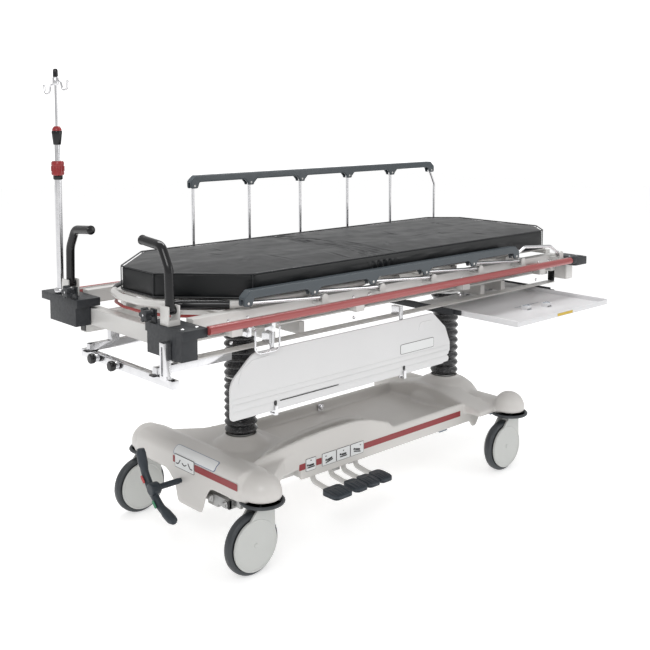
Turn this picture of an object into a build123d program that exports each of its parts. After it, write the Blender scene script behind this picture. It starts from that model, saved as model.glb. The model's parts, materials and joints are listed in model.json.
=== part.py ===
from build123d import *
import math
import os

# Stretcher trolley. Millimetres. X runs from the head end (-) to the foot end (+),
# Y from the near side (-) to the far side (+), Z up from the floor.

# Wheels and base
head_caster_x, foot_caster_x = -615, 680
caster_y = 325
caster_trail = 45
wheel_r, tyre_half, hub_half = 100, 16, 12
axle_r, stem_r = 6, 11
running = 0.06            # radial clearance of a turning fit
cover_r, cover_gap, cover_t = 84, 19, 7
crown_z = (206, 220)
dome_r, ring_r = 62, 74
deck_top, deck_roll = 318, 28
waist_y = 215
rim_z, skirt_z, floor_z = 271, 180, 225
shell = 6

# Lift columns
head_col_x, foot_col_x = -445, 655
neck_z, flange_z = 330, 684
cylinder_r, stage_r, ram_r = 46, 38, 30
pivot_z, pivot_r = 735, 12
bellows_split_z = 530

# Litter
litter_head_x, litter_foot_x = -900, 1040
lower_beam_y, lower_beam_z = (250, 290), (712, 772)
upper_beam_y, upper_beam_z = (290, 325), (800, 846)
deck_z = (862, 870)
mattress_z = (875, 955)
mattress_half = 318
mattress_head_x, mattress_foot_x = -858, 1010
fold_x, fold_z = -60, 861
back_tube_r = 12.5

# Side rails
rail_y = 360
rail_pivot_z = 852
pivot_xs = [-385, -116, 152, 424, 694, 962]
spindle_len, spindle_r = 318, 6
lowered_angle = math.degrees(math.acos(25 / spindle_len))
eye_r, eye_half, slot_half = 9, 6.2, 6.6
pin_r = 4.5

# Pedals
pedal_pivot_y, pedal_pivot_z = -180, 196
pump_x = -275
release_xs = [-188, -126, -64]
brake_x, brake_y, brake_z = -800, 15, 213
brake_half, brake_angle = 128, 44

# Handles and pole
handle_x, handle_y, handle_pivot_z = -930, 296, 878
handle_r = 14.5
pole_x, pole_y = -930, 366

# Side board and tray
board_x, board_y, board_z = (-750, 277), (-345, -335), (514, 713)
tray_x, tray_y, tray_z = (310, 905), (-624, -100), (686, 708)
bumper_r = 13
tray_clamps = [(623, -135), (775, -135), (570, -477), (674, -497)]

os.makedirs("parts", exist_ok=True)
pieces = {}


def side_plane(y):
    """A vertical plane at one Y, with local x along X and local y along Z."""
    return Plane(origin=(0, y, 0), x_dir=(1, 0, 0), z_dir=(0, -1, 0))


def cross_plane(x):
    """A vertical plane at one X, with local x along Y and local y along Z."""
    return Plane(origin=(x, 0, 0), x_dir=(0, 1, 0), z_dir=(1, 0, 0))


def block(x, y, z, mode=Mode.ADD):
    """A box between two limits on each axis."""
    centre = tuple((low + high) / 2 for low, high in (x, y, z))
    size = [abs(high - low) for low, high in (x, y, z)]
    with Locations(centre):
        Box(*size, mode=mode)


def post(x, y, z, radius, mode=Mode.ADD):
    """A vertical cylinder between two heights."""
    with Locations((x, y, (z[0] + z[1]) / 2)):
        Cylinder(radius, z[1] - z[0], mode=mode)


def bar_y(x, y, z, radius, mode=Mode.ADD):
    """A cylinder along Y."""
    with Locations(Location((x, (y[0] + y[1]) / 2, z), (90, 0, 0))):
        Cylinder(radius, y[1] - y[0], mode=mode)


def bar_x(x, y, z, radius, mode=Mode.ADD):
    """A cylinder along X."""
    with Locations(Location(((x[0] + x[1]) / 2, y, z), (0, 90, 0))):
        Cylinder(radius, x[1] - x[0], mode=mode)


def tube(points, bends, radius):
    """A round bar along straight runs joined by arcs."""
    with BuildLine() as route:
        FilletPolyline(*points, radius=bends)
    with BuildSketch(Plane(origin=route.line @ 0, z_dir=route.line % 0)) as section:
        Circle(radius)
    sweep(sections=section.sketch, path=route.line)


def keep(name, part):
    """Labels a finished piece and holds it for export."""
    part.label = name
    pieces[name] = part


# ---------------------------------------------------------------- casters

corners = {
    "head_near": (head_caster_x, -caster_y),
    "head_far": (head_caster_x, caster_y),
    "foot_near": (foot_caster_x, -caster_y),
    "foot_far": (foot_caster_x, caster_y),
}

for corner, (x, y) in corners.items():
    wheel_x = x - caster_trail
    with BuildPart() as fork:
        for side in (-1, 1):
            with BuildSketch(side_plane(y + side * (cover_gap + cover_t / 2))):
                with Locations((wheel_x, wheel_r)):
                    Circle(cover_r)
                Polygon(
                    (wheel_x - 40, 160), (x - 30, crown_z[1]), (x + 30, crown_z[1]),
                    (wheel_x + 78, 118), align=None,
                )
            extrude(amount=cover_t / 2, both=True)
        cheek = cover_gap + cover_t
        block((x - 30, x + 30), (y - cheek, y + cheek), crown_z)
        post(x, y, crown_z, 34)
        post(x, y, (crown_z[1] - 1, 262), stem_r)
        bar_y(wheel_x, (y - cheek, y + cheek), wheel_r, axle_r)
    keep(f"caster_fork_{corner}", fork.part)

    with BuildPart() as wheel:
        bar_y(wheel_x, (y - tyre_half, y + tyre_half), wheel_r, wheel_r)
        fillet(wheel.edges().filter_by(GeomType.CIRCLE), 9)
        for side in (-1, 1):
            face = sorted((y + side * hub_half, y + side * (tyre_half + 1)))
            bar_y(wheel_x, face, wheel_r, cover_r - 2, mode=Mode.SUBTRACT)
        bar_y(wheel_x, (y - tyre_half, y + tyre_half), wheel_r, 20)
        bar_y(wheel_x, (y - 20, y + 20), wheel_r, axle_r + running, mode=Mode.SUBTRACT)
    keep(f"wheel_{corner}", wheel.part)

with BuildPart() as rings:
    for x, y in corners.values():
        with BuildSketch(Plane.XY.offset(221)):
            with Locations((x, y)):
                Circle(ring_r)
                Circle(ring_r - 12, mode=Mode.SUBTRACT)
        extrude(amount=10)
        for turn in (45, 135, 225, 315):
            with BuildSketch(Plane.XY.offset(224)):
                with Locations(Location((x, y), turn)):
                    with Locations((45, 0)):
                        Rectangle(42, 8)
            extrude(amount=5)
        post(x, y, (220.5, 232), 24.3, mode=Mode.SUBTRACT)
keep("bumper_rings", rings.part)

# ---------------------------------------------------------------- base

with BuildPart() as chassis:
    for x in (head_caster_x, foot_caster_x):
        block((x - 22, x + 22), (-caster_y, caster_y), (232, 262))
        for y in (-caster_y, caster_y):
            post(x, y, (222, 262), 24)
        for y in (-140, 140):
            block((x - 22, x + 22), (y - 20, y + 20), (214, 233))
    for y in (-140, 140):
        block((head_caster_x - 22, foot_caster_x + 22), (y - 20, y + 20), (185, 215))
    for x in (head_col_x, foot_col_x):
        block((x - 70, x + 70), (-125, 125), (185, 191))
    for x in (head_caster_x, foot_caster_x):
        for y in (-caster_y, caster_y):
            post(x, y, (221, 263), stem_r + running, mode=Mode.SUBTRACT)
    # cylinder wells
    for x in (head_col_x, foot_col_x):
        post(x, 0, (184, 263), cylinder_r, mode=Mode.SUBTRACT)
    # pedal shaft carried on lugs under the near rail
    for x in (-330, -230, -157, -95, -24):
        block((x - 4, x + 4), (pedal_pivot_y - 14, -120), (pedal_pivot_z - 14, pedal_pivot_z + 14))
    bar_x((-334, -20), pedal_pivot_y, pedal_pivot_z, 7)
    # brake shaft housing at the head end
    block((-684, -630), (brake_y - 22, brake_y + 22), (brake_z - 22, brake_z + 22))
    block((-640, -590), (-125, 125), (200, 232))
    bar_x((-700, -585), brake_y, brake_z, 9 + running, mode=Mode.SUBTRACT)
keep("base_frame", chassis.part)

with BuildPart() as cylinders:
    for x, top, bore in ((head_col_x, 395, stage_r), (foot_col_x, 470, stage_r)):
        post(x, 0, (150, top), cylinder_r - 0.2)
        post(x, 0, (156, top + 1), bore + running, mode=Mode.SUBTRACT)
keep("cylinders", cylinders.part)

near_outline = [
    (-689, -325), (-541, -325), (-430, -222), (-350, -waist_y), (590, -waist_y),
    (612, -240), (625, -325), (744, -325),
]
far_outline = [(x, -y) for x, y in reversed(near_outline)]
head_deck_plan = [(-693, -325), (-560, -325), (-330, -165), (-330, 165), (-560, 325), (-693, 325)]
head_face = [
    (-300, 255), (-150, 225), (-125, 190), (-100, 130), (38, 130), (52, 190), (100, 225), (300, 255),
]
foot_lobe = [(560, 182), (588, 156), (612, 160), (640, 200), (655, 240), (560, 240)]

with BuildPart() as shroud:
    # lower body, dog-bone in plan
    with BuildSketch(Plane.XY.offset(floor_z - shell)):
        Polygon(*near_outline, *far_outline, align=None)
    extrude(amount=rim_z - floor_z + shell)
    # head deck, raised foot arms, skirt
    with BuildSketch(Plane.XY.offset(floor_z - shell)):
        Polygon(*head_deck_plan, align=None)
    extrude(amount=deck_top - deck_roll - floor_z + shell)
    with BuildSketch(Plane.XY.offset(deck_top - deck_roll)):
        Polygon(*head_deck_plan, align=None)
    extrude(amount=deck_roll, taper=45)
    with BuildSketch(cross_plane(622)):
        Polygon((-300, 230), (-300, 258), (-60, 306), (60, 306), (300, 258), (300, 230), align=None)
    extrude(amount=120)
    # storage recess
    with BuildSketch(Plane.XY.offset(floor_z)):
        with Locations((160, 0)):
            RectangleRounded(920, 2 * waist_y - 50, 30)
    extrude(amount=200, mode=Mode.SUBTRACT)
    # arched near wall with its pocket
    with BuildSketch(side_plane(-waist_y)):
        with BuildLine():
            Line((-600, 250), (-600, 312))
            ThreePointArc((-600, 312), (-330, 340), (-60, 338))
            ThreePointArc((-60, 338), (60, 310), (120, 262))
            Line((120, 262), (120, 250))
            Line((120, 250), (-600, 250))
        make_face()
    extrude(amount=-95)
    with BuildSketch(cross_plane(-640)):
        Polygon((-waist_y - 5, 319), (-190, 360), (-waist_y - 5, 360), align=None)
    extrude(amount=340, mode=Mode.SUBTRACT)
    with BuildSketch(cross_plane(-300)):
        Polygon((-waist_y - 5, 258), (-155, 360), (-waist_y - 5, 360), align=None)
    extrude(amount=460, mode=Mode.SUBTRACT)
    block((-75, 25), (-158, -127), (262, 400), mode=Mode.SUBTRACT)
    # caster domes
    for x, y in corners.values():
        post(x, y, (234, 251), dome_r)
        with Locations((x, y, 251)):
            Sphere(dome_r, arc_size1=0)
    # column cones
    for x, foot_r in ((head_col_x, 110), (foot_col_x, 146)):
        with BuildSketch(side_plane(0)):
            with BuildLine():
                Line((x, floor_z), (x + foot_r, floor_z))
                Spline((x + foot_r, floor_z), (x + 0.93 * foot_r, 262), (x + 0.6 * foot_r, 300),
                       (x + 56, neck_z))
                Line((x + 56, neck_z), (x, neck_z))
                Line((x, neck_z), (x, floor_z))
            make_face()
        revolve(axis=Axis((x, 0, 0), (0, 0, 1)))
    # hollow underside
    block((-600, 736), (-waist_y + shell, waist_y - shell), (150, floor_z - shell + 1), mode=Mode.SUBTRACT)
    with BuildSketch(Plane.XY.offset(150)):
        Polygon(*head_deck_plan, align=None)
        offset(amount=-shell, kind=Kind.INTERSECTION)
    extrude(amount=deck_top - deck_roll - shell - 150, mode=Mode.SUBTRACT)
    with BuildSketch(Plane.XY.offset(deck_top - deck_roll - shell)):
        Polygon(*head_deck_plan, align=None)
        offset(amount=-shell, kind=Kind.INTERSECTION)
    extrude(amount=deck_roll, taper=45, mode=Mode.SUBTRACT)
    block((628, 736), (-325, 325), (150, rim_z - shell), mode=Mode.SUBTRACT)
    for x, y in corners.values():
        post(x, y, (150, 251), dome_r - shell, mode=Mode.SUBTRACT)
        with Locations((x, y, 251)):
            Sphere(dome_r - shell, arc_size1=0, mode=Mode.SUBTRACT)
        post(x, y, (150, 234), ring_r + 6, mode=Mode.SUBTRACT)
    # recess end wall and long side walls
    block((-306, -300), (-190, 190), (floor_z - shell, 312))
    for side in (-1, 1):
        inner, outer = sorted((side * (waist_y - shell), side * waist_y))
        block((-350, 600), (inner, outer), (skirt_z, rim_z - 1))
        with BuildSketch(side_plane(side * (waist_y - shell / 2))):
            Polygon(*foot_lobe, align=None)
        extrude(amount=shell / 2, both=True)
    with BuildSketch(cross_plane(-693)):
        Polygon(*head_face, (300, deck_top - deck_roll), (-300, deck_top - deck_roll), align=None)
    extrude(amount=shell)
    for x, foot_r in ((head_col_x, 110), (foot_col_x, 146)):
        post(x, 0, (150, neck_z + 1), 50, mode=Mode.SUBTRACT)
    bar_x((-700, -680), brake_y, brake_z, 16, mode=Mode.SUBTRACT)
keep("base_shroud", shroud.part)


def bellows(name, x, z, folds):
    """A convoluted cover between two heights."""
    pitch = (z[1] - z[0]) / folds
    with BuildPart() as cover:
        with BuildSketch(side_plane(0)):
            with BuildLine():
                ridge = [(x + 50, z[0])]
                for fold in range(folds):
                    ridge += [(x + 58, z[0] + (fold + 0.5) * pitch), (x + 50, z[0] + (fold + 1) * pitch)]
                Polyline(*ridge)
                Polyline((x + 50, z[1]), (x + 47, z[1]), (x + 47, z[0]), (x + 50, z[0]))
            make_face()
        revolve(axis=Axis((x, 0, 0), (0, 0, 1)))
    keep(name, cover.part)


bellows("bellows_foot", foot_col_x, (neck_z, flange_z), 11)
bellows("bellows_head_lower", head_col_x, (neck_z, bellows_split_z - 2), 8)
bellows("bellows_head_upper", head_col_x, (bellows_split_z + 4, flange_z), 6)

# ---------------------------------------------------------------- lift

with BuildPart() as stage:
    post(head_col_x, 0, (262, 560), stage_r)
    post(head_col_x, 0, (bellows_split_z - 2, bellows_split_z + 4), 54)
    post(head_col_x, 0, (250, 561), ram_r + running, mode=Mode.SUBTRACT)
keep("stage_head", stage.part)

with BuildPart() as ram_foot:
    post(foot_col_x, 0, (330, flange_z + 1), stage_r)
    post(foot_col_x, 0, (flange_z, flange_z + 10), 66)
    block((foot_col_x - 20, foot_col_x + 20), (-15, 15), (flange_z + 8, pivot_z))
    bar_y(foot_col_x, (-15, 15), pivot_z, 20)
    bar_y(foot_col_x, (-16, 16), pivot_z, pivot_r + running, mode=Mode.SUBTRACT)
keep("ram_foot", ram_foot.part)

with BuildPart() as ram_head:
    post(head_col_x, 0, (360, flange_z + 1), ram_r)
    post(head_col_x, 0, (flange_z, flange_z + 10), 66)
    block((head_col_x - 14, head_col_x + 14), (-15, 15), (flange_z + 8, pivot_z))
    bar_y(head_col_x, (-40, 40), pivot_z, pivot_r)
keep("ram_head", ram_head.part)

# ---------------------------------------------------------------- foot pedals

with BuildPart() as brake:
    bar_x((-812, -600), brake_y, brake_z, 9)
    with BuildSketch(cross_plane(-812)) as bar_shape:
        with Locations(Location((brake_y, brake_z), brake_angle)):
            RectangleRounded(2 * brake_half, 30, 14)
            Circle(26)
            for side in (-1, 1):
                with Locations((side * (brake_half - 22), 8)):
                    RectangleRounded(62, 30, 12)
    extrude(amount=32)
keep("brake_pedal", brake.part)


def foot_pedal(name, x, width):
    """A pad on a curved arm that turns on the pedal shaft."""
    with BuildPart() as pedal:
        with BuildSketch(Plane.XY.offset(143)):
            with Locations((x, -314)):
                RectangleRounded(width, 78, 16)
        extrude(amount=22)
        fillet(pedal.faces().sort_by(Axis.Z)[-1].edges(), 4)
        tube(
            [(x, pedal_pivot_y, pedal_pivot_z), (x, -192, 158), (x, -250, 150), (x, -300, 152)],
            18, 8,
        )
        bar_x((x - 14, x + 14), pedal_pivot_y, pedal_pivot_z, 13)
        bar_x((x - 15, x + 15), pedal_pivot_y, pedal_pivot_z, 7 + running, mode=Mode.SUBTRACT)
    keep(name, pedal.part)


foot_pedal("pump_pedal", pump_x, 84)
for pedal_name, x in zip(("head_down", "level_down", "foot_down"), release_xs):
    foot_pedal(f"release_pedal_{pedal_name}", x, 59)

# ---------------------------------------------------------------- litter

with BuildPart() as litter:
    for side in (-1, 1):
        low = sorted(side * y for y in lower_beam_y)
        high = sorted(side * y for y in upper_beam_y)
        block((litter_head_x, litter_foot_x), low, lower_beam_z)
        block((litter_head_x - 1, litter_foot_x + 1), sorted((low[0] + 4 * side, low[1] - 4 * side)),
              (lower_beam_z[0] + 4, lower_beam_z[1] - 4), mode=Mode.SUBTRACT)
        block((litter_head_x + 30, litter_foot_x - 42), high, upper_beam_z)
        for x in (-705, -175, 400, 900):
            block((x - 20, x + 20), sorted((side * 284, side * 322)), (768, 804))
        # clevis lugs of the backrest hinge
        block((fold_x - 12, fold_x + 12), sorted((side * 274, side * 284)), (806, 872))
        block((fold_x - 12, fold_x + 12), sorted((side * 283, side * 292)), (806, 840))
        bar_y(fold_x, sorted((side * 252, side * 275)), fold_z, 6)
    # cross members: head beam, column cross members, foot beam, deck slats
    for low_x, high_x, z in (
        (-900, -860, (745, 800)), (-520, -496, (712, 752)), (-394, -370, (712, 752)),
        (576, 600, (712, 752)), (710, 734, (712, 752)), (1000, 1040, (745, 800)),
    ):
        block((low_x, high_x), (-252, 252), z)
    for x in (40, 360, 700, 980):
        block((x - 15, x + 15), (-292, 292), (845, 861))
    for x in (-885, 1020):
        for side in (-1, 1):
            block((x - 15, x + 15), sorted((side * 240, side * 292)), (765, 801.8 if x > 0 else 807.8))
    # yokes over the two columns
    for x, low_x, high_x in ((foot_col_x, 598, 712), (head_col_x, -498, -392)):
        for side in (-1, 1):
            block((low_x, high_x), sorted((side * 18, side * 26)), (718, 768))
    bar_y(foot_col_x, (-30, 30), pivot_z, pivot_r)
    with BuildSketch(side_plane(0)):
        with Locations((head_col_x - 12, pivot_z)):
            SlotOverall(78, 35)
    extrude(amount=30, both=True, mode=Mode.SUBTRACT)
keep("litter_frame", litter.part)

with BuildPart() as seat_deck:
    with BuildSketch(Plane.XY.offset(deck_z[0])):
        with Locations((485, 0)):
            RectangleRounded(1030, 570, 40)
    extrude(amount=deck_z[1] - deck_z[0])
keep("seat_deck", seat_deck.part)

with BuildPart() as rail_brackets:
    for side in (-1, 1):
        y = side * rail_y
        for x in pivot_xs:
            block((x - 14, x + 14), sorted((side * 325.2, y + side * 13)), (826, 838))
            for cheek in (-1, 1):
                faces = sorted((y + cheek * 7, y + cheek * 13))
                block((x - 12, x + 12), faces, (830, 853))
                bar_y(x, faces, 853, 12)
            bar_y(x, (y - 13, y + 13), rail_pivot_z, pin_r)
keep("rail_brackets", rail_brackets.part)

# ---------------------------------------------------------------- side rails


def spindle(name, x, y, lean, bent):
    """A chrome upright with an eye at each end, leaning towards the head by an angle."""
    turn = math.radians(lean)
    across = (math.cos(turn), 0, math.sin(turn))
    own = Plane(origin=(x, y, rail_pivot_z), x_dir=across, z_dir=(0, -1, 0))
    with BuildPart() as upright:
        foot, top = own.from_local_coords((0, 0)), own.from_local_coords((0, spindle_len))
        start, end = own.from_local_coords((0, 5)), own.from_local_coords((0, spindle_len - 5))
        if bent:
            lower, upper = own.from_local_coords((16, 60)), own.from_local_coords((16, spindle_len - 110))
            tube([start, lower, upper, end], 30, spindle_r)
        else:
            with BuildSketch(Plane(origin=start, z_dir=end - start)):
                Circle(spindle_r)
            extrude(amount=spindle_len - 10)
        for eye in (foot, top):
            bar_y(eye.X, (y - eye_half, y + eye_half), eye.Z, eye_r)
        for eye in (foot, top):
            bar_y(eye.X, (y - 12, y + 12), eye.Z, pin_r + running, mode=Mode.SUBTRACT)
    keep(name, upright.part)


def top_rail(name, y, shift_x, pin_z):
    """The moulded rail, with a lug over each spindle's top pin."""
    xs = [x + shift_x for x in pivot_xs]
    with BuildPart() as rail:
        with BuildSketch(side_plane(y)) as outline:
            Polygon(
                (xs[0] - 17, pin_z - 10), (xs[0] - 17, pin_z + 18), (xs[0] + 6, pin_z + 39),
                (xs[-1] - 6, pin_z + 39), (xs[-1] + 17, pin_z + 18), (xs[-1] + 17, pin_z - 10),
                (xs[-1] - 14, pin_z - 10), (xs[-1] - 22, pin_z + 13),
                (xs[0] + 22, pin_z + 13), (xs[0] + 14, pin_z - 10), align=None,
            )
            fillet(outline.vertices(), 7)
            for x in xs[1:-1]:
                Polygon((x - 34, pin_z + 16), (x - 15, pin_z - 2), (x - 13, pin_z - 10),
                        (x + 13, pin_z - 10), (x + 15, pin_z - 2), (x + 34, pin_z + 16), align=None)
        extrude(amount=15, both=True)
        for x in xs:
            block((x - 40, x + 40), (y - slot_half, y + slot_half), (pin_z - 30, pin_z + 12),
                  mode=Mode.SUBTRACT)
            bar_y(x, (y - 15, y + 15), pin_z, pin_r)
    keep(name, rail.part)


near_shift = -spindle_len * math.sin(math.radians(lowered_angle))
near_pin_z = rail_pivot_z + spindle_len * math.cos(math.radians(lowered_angle))
for number, x in enumerate(pivot_xs, start=1):
    spindle(f"spindle_near_{number}", x, -rail_y, lowered_angle, number == 6)
    spindle(f"spindle_far_{number}", x, rail_y, 0, number == 6)
top_rail("side_rail_near", -rail_y, near_shift, near_pin_z)
top_rail("side_rail_far", rail_y, 0, rail_pivot_z + spindle_len)

# ---------------------------------------------------------------- corners, bumpers, sockets

with BuildPart() as head_brackets:
    for side in (-1, 1):
        outer = 400 if side < 0 else 452
        block((-958, -872), sorted((side * 205, side * outer)), (808, 835))
        block((-958, -902), sorted((side * 215, side * 392)), (745, 809))
        # star knob on its stud
        bar_x((-975, -940), side * 236, 862, 5)
        bar_x((-985, -966), side * 236, 862, 15)
        for lobe in range(5):
            angle = 2 * math.pi * lobe / 5
            bar_x((-985, -966), side * 236 + 15 * math.cos(angle), 862 + 15 * math.sin(angle), 7)
        block((-950, -944), sorted((side * 222, side * 250)), (834, 876))
    block((-930, -884), (-360, -330), (758, 790), mode=Mode.SUBTRACT)
keep("head_brackets", head_brackets.part)

with BuildPart() as foot_brackets:
    for side in (-1, 1):
        block((1000, 1095), sorted((side * 292, side * 415)), (802, 835))
        block((1042, 1092), sorted((side * 250, side * 345)), (732, 803))
        bar_x((984, 1004), side * 402, 826, bumper_r + 4)
keep("foot_brackets", foot_brackets.part)

with BuildPart() as bumper_rails:
    for side in (-1, 1):
        bar_x((-871, 983), side * 402, 826, bumper_r)
keep("bumper_rails", bumper_rails.part)

with BuildPart() as sockets:
    for side in (-1, 1):
        y = side * handle_y
        block((handle_x - 21, handle_x + 21), (y - 21, y + 21), (835.2, 851))
        for cheek in (-1, 1):
            faces = sorted((handle_x + cheek * 16, handle_x + cheek * 21))
            block(faces, (y - 21, y + 21), (850, 893))
        bar_x((handle_x - 21, handle_x + 21), y, handle_pivot_z, 5)
keep("handle_sockets", sockets.part)

for word, side in (("near", -1), ("far", 1)):
    y = side * handle_y
    with BuildPart() as handle:
        tube(
            [(handle_x, y, handle_pivot_z), (handle_x, y - side * 4, 1000),
             (handle_x, y - side * 40, 1062), (handle_x, y - side * 144, 1070)],
            [60, 32], handle_r,
        )
        bar_x((handle_x - 14, handle_x + 14), y, handle_pivot_z, 14)
        bar_x((handle_x - 16, handle_x + 16), y, handle_pivot_z, 5 + running, mode=Mode.SUBTRACT)
    keep(f"push_handle_{word}", handle.part)

# ---------------------------------------------------------------- drip pole

with BuildPart() as pole_base:
    post(pole_x, pole_y, (835.2, 1230), 12)
    post(pole_x, pole_y, (835.2, 850), 22)
    post(pole_x, pole_y, (1222, 1234), 15)
    post(pole_x, pole_y, (1233, 1285), 21.5)
    post(pole_x, pole_y, (850, 1286), 9 + running, mode=Mode.SUBTRACT)
keep("pole_base", pole_base.part)

with BuildPart() as pole_middle:
    post(pole_x, pole_y, (905, 1340), 9)
    with Locations((pole_x, pole_y, 1362.5)):
        Cone(12.5, 17.5, 47)
    with Locations((pole_x, pole_y, 1393.5)):
        Cone(16, 9, 15)
    post(pole_x, pole_y, (930, 1402), 4.5 + running, mode=Mode.SUBTRACT)
keep("pole_middle", pole_middle.part)

with BuildPart() as pole_top:
    post(pole_x, pole_y, (1050, 1566), 4.5)
    post(pole_x, pole_y, (1538, 1565), 10)
    post(pole_x, pole_y, (1565, 1593), 8)
    for side in (-1, 1):
        arm = 1552 if side < 0 else 1540
        tube(
            [(pole_x, pole_y, arm), (pole_x, pole_y + side * 34, arm),
             (pole_x, pole_y + side * 48, arm - 30), (pole_x, pole_y + side * 76, arm - 30),
             (pole_x, pole_y + side * 82, arm - 4)],
            [14, 12, 12], 3.5,
        )
keep("pole_top", pole_top.part)

# ---------------------------------------------------------------- side board

with BuildPart() as board:
    with BuildSketch(side_plane((board_y[0] + board_y[1]) / 2)) as board_shape:
        Polygon(
            (board_x[0], board_z[0] + 20), (board_x[0], 634), (board_x[0] + 90, board_z[1]),
            (board_x[1] - 97, board_z[1]), (board_x[1] - 27, 652), (board_x[1], 590),
            (board_x[1], board_z[0] + 45), (board_x[1] - 37, board_z[0]),
            (board_x[0] + 20, board_z[0]), align=None,
        )
        fillet(board_shape.vertices(), 12)
    extrude(amount=(board_y[1] - board_y[0]) / 2, both=True)
keep("side_board", board.part)

with BuildPart() as hanger:
    for x in (-575, 22):
        block((x - 9, x + 9), (-331, -327), (500, 760))
        block((x - 9, x + 9), (-328, -290.2), (726, 758))
        block((x - 6, x + 6), (-352, -327), (500, 505))
        block((x - 6, x + 6), (-352, -348.5), (500, 530))
    loop_low, loop_high = -661, -564
    tube(
        [(loop_low, -322, 792), (loop_low, -354, 792), (loop_low, -354, 709),
         (loop_high, -354, 709), (loop_high, -354, 792), (loop_high, -322, 792)],
        [12, 22, 22, 12], 3,
    )
    block((loop_low - 8, loop_low + 8), (-325, -290.2), (760, 796))
    block((loop_high - 8, loop_high + 8), (-325, -290.2), (760, 796))
keep("board_hanger", hanger.part)

# ---------------------------------------------------------------- tray

with BuildPart() as tray:
    block(tray_x, tray_y, (tray_z[0], tray_z[0] + 5))
    for x in tray_x:
        lip = (x, x + 6) if x == tray_x[0] else (x - 6, x)
        block(lip, tray_y, tray_z)
    block(tray_x, (tray_y[0], tray_y[0] + 10), (tray_z[0], tray_z[0] + 16))
    for x, y in tray_clamps:
        block((x - 16, x + 16), (y - 14, y + 14), (tray_z[0] + 4, tray_z[0] + 20))
keep("tray", tray.part)

with BuildPart() as tray_slide:
    for x in tray_x:
        at = (x - 12, x - 2) if x == tray_x[0] else (x + 2, x + 12)
        block(at, (-372, -92), (690, 708))
keep("tray_slide", tray_slide.part)

with BuildPart() as tray_runner:
    for x in tray_x:
        at = (x - 24, x - 14) if x == tray_x[0] else (x + 14, x + 24)
        block(at, (-345, 60), (688, 711.8))
keep("tray_runner", tray_runner.part)

# ---------------------------------------------------------------- backrest

with BuildPart() as backrest:
    tube(
        [(fold_x, -200, fold_z), (-130, -300, fold_z), (-690, -300, fold_z), (-855, -150, fold_z),
         (-885, -60, fold_z), (-885, 60, fold_z), (-855, 150, fold_z), (-690, 300, fold_z),
         (-130, 300, fold_z), (fold_x, 200, fold_z)],
        [60, 90, 90, 50, 50, 90, 90, 60], back_tube_r - 0.5,
    )
    with BuildSketch(Plane.XY.offset(deck_z[0])):
        Polygon((-130, -290), (-680, -290), (-850, -140), (-850, 140), (-680, 290), (-130, 290),
                align=None)
    extrude(amount=deck_z[1] - deck_z[0])
    bar_y(fold_x, (-270, 270), fold_z, 11)
    block((-140, fold_x), (-120, 120), (deck_z[0], deck_z[1]))
    for side in (-1, 1):
        bar_y(fold_x, sorted((side * 248, side * 272)), fold_z, 6 + running, mode=Mode.SUBTRACT)
    for side in (-1, 1):
        block((-708, -684), sorted((side * 262, side * 270)), (818, 864))
keep("backrest_frame", backrest.part)

with BuildPart() as release_bar:
    tube(
        [(-696, -276, 826), (-735, -276, 826), (-848, -150, 826), (-872, -60, 826),
         (-872, 60, 826), (-848, 150, 826), (-735, 276, 826), (-696, 276, 826)],
        [30, 60, 40, 40, 60, 30], 5,
    )
keep("release_bar", release_bar.part)

with BuildPart() as release_lever:
    block((722, 850), (-338, -332), (800, 824))
    bar_y(730, (-338, -325.2), 812, 12)
keep("release_lever", release_lever.part)

# ---------------------------------------------------------------- mattress


def mattress_piece(name, plan, fold_face):
    """A flat-bottomed pad with its end sloped for the fold."""
    with BuildPart() as pad:
        with BuildSketch(Plane.XY.offset(mattress_z[0])):
            Polygon(*plan, align=None)
        extrude(amount=mattress_z[1] - mattress_z[0])
        with BuildSketch(side_plane(0)):
            Polygon(*fold_face, align=None)
        extrude(amount=mattress_half + 10, both=True, mode=Mode.SUBTRACT)
    keep(name, pad.part)


low_z, high_z = mattress_z[0] - 1, mattress_z[1] + 1
mattress_piece(
    "mattress_back",
    [(fold_x, -mattress_half), (-645, -mattress_half), (mattress_head_x, -95),
     (mattress_head_x, 95), (-645, mattress_half), (fold_x, mattress_half)],
    [(fold_x - 8, low_z), (fold_x - 72, high_z), (fold_x + 20, high_z), (fold_x + 20, low_z)],
)
mattress_piece(
    "mattress_seat",
    [(fold_x, -mattress_half), (905, -mattress_half), (mattress_foot_x, -210),
     (mattress_foot_x, 210), (905, mattress_half), (fold_x, mattress_half)],
    [(fold_x + 14, low_z), (fold_x + 77, high_z), (fold_x - 20, high_z), (fold_x - 20, low_z)],
)

# ---------------------------------------------------------------- head-end accessory frame

with BuildPart() as accessory:
    block((-972, -948), (-365, 157), (664, 688))
    for y in ((-286, -262), (100, 122)):
        block((-949, -700), y, (688, 711.8))
        block((-972, -948), y, (687, 711.8))
    block((-896, -864), (100, 122), (711, 745))
    block((-984, -960), (-343, -319), (687, 796))
    block((-986, -958), (-335, -327), (700, 785), mode=Mode.SUBTRACT)
    for y in (-60, 60):
        bar_x((-988, -971), y, 676, 13)
keep("accessory_frame", accessory.part)

# ---------------------------------------------------------------- export

boxes = [part.bounding_box() for part in pieces.values()]
low = [min(getattr(box.min, axis) for box in boxes) for axis in "XYZ"]
high = [max(getattr(box.max, axis) for box in boxes) for axis in "XYZ"]
to_origin = Location((-(low[0] + high[0]) / 2, -(low[1] + high[1]) / 2, -low[2]))
for name, part in pieces.items():
    placed = part.moved(to_origin)
    placed.label = name
    export_step(placed, f"parts/{name}.step")
print(len(pieces), "pieces; moved by", to_origin.position, "size", [b - a for a, b in zip(low, high)])
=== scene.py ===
"""The looks of a hospital stretcher trolley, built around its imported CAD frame."""

import json
import math
import random

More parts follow.
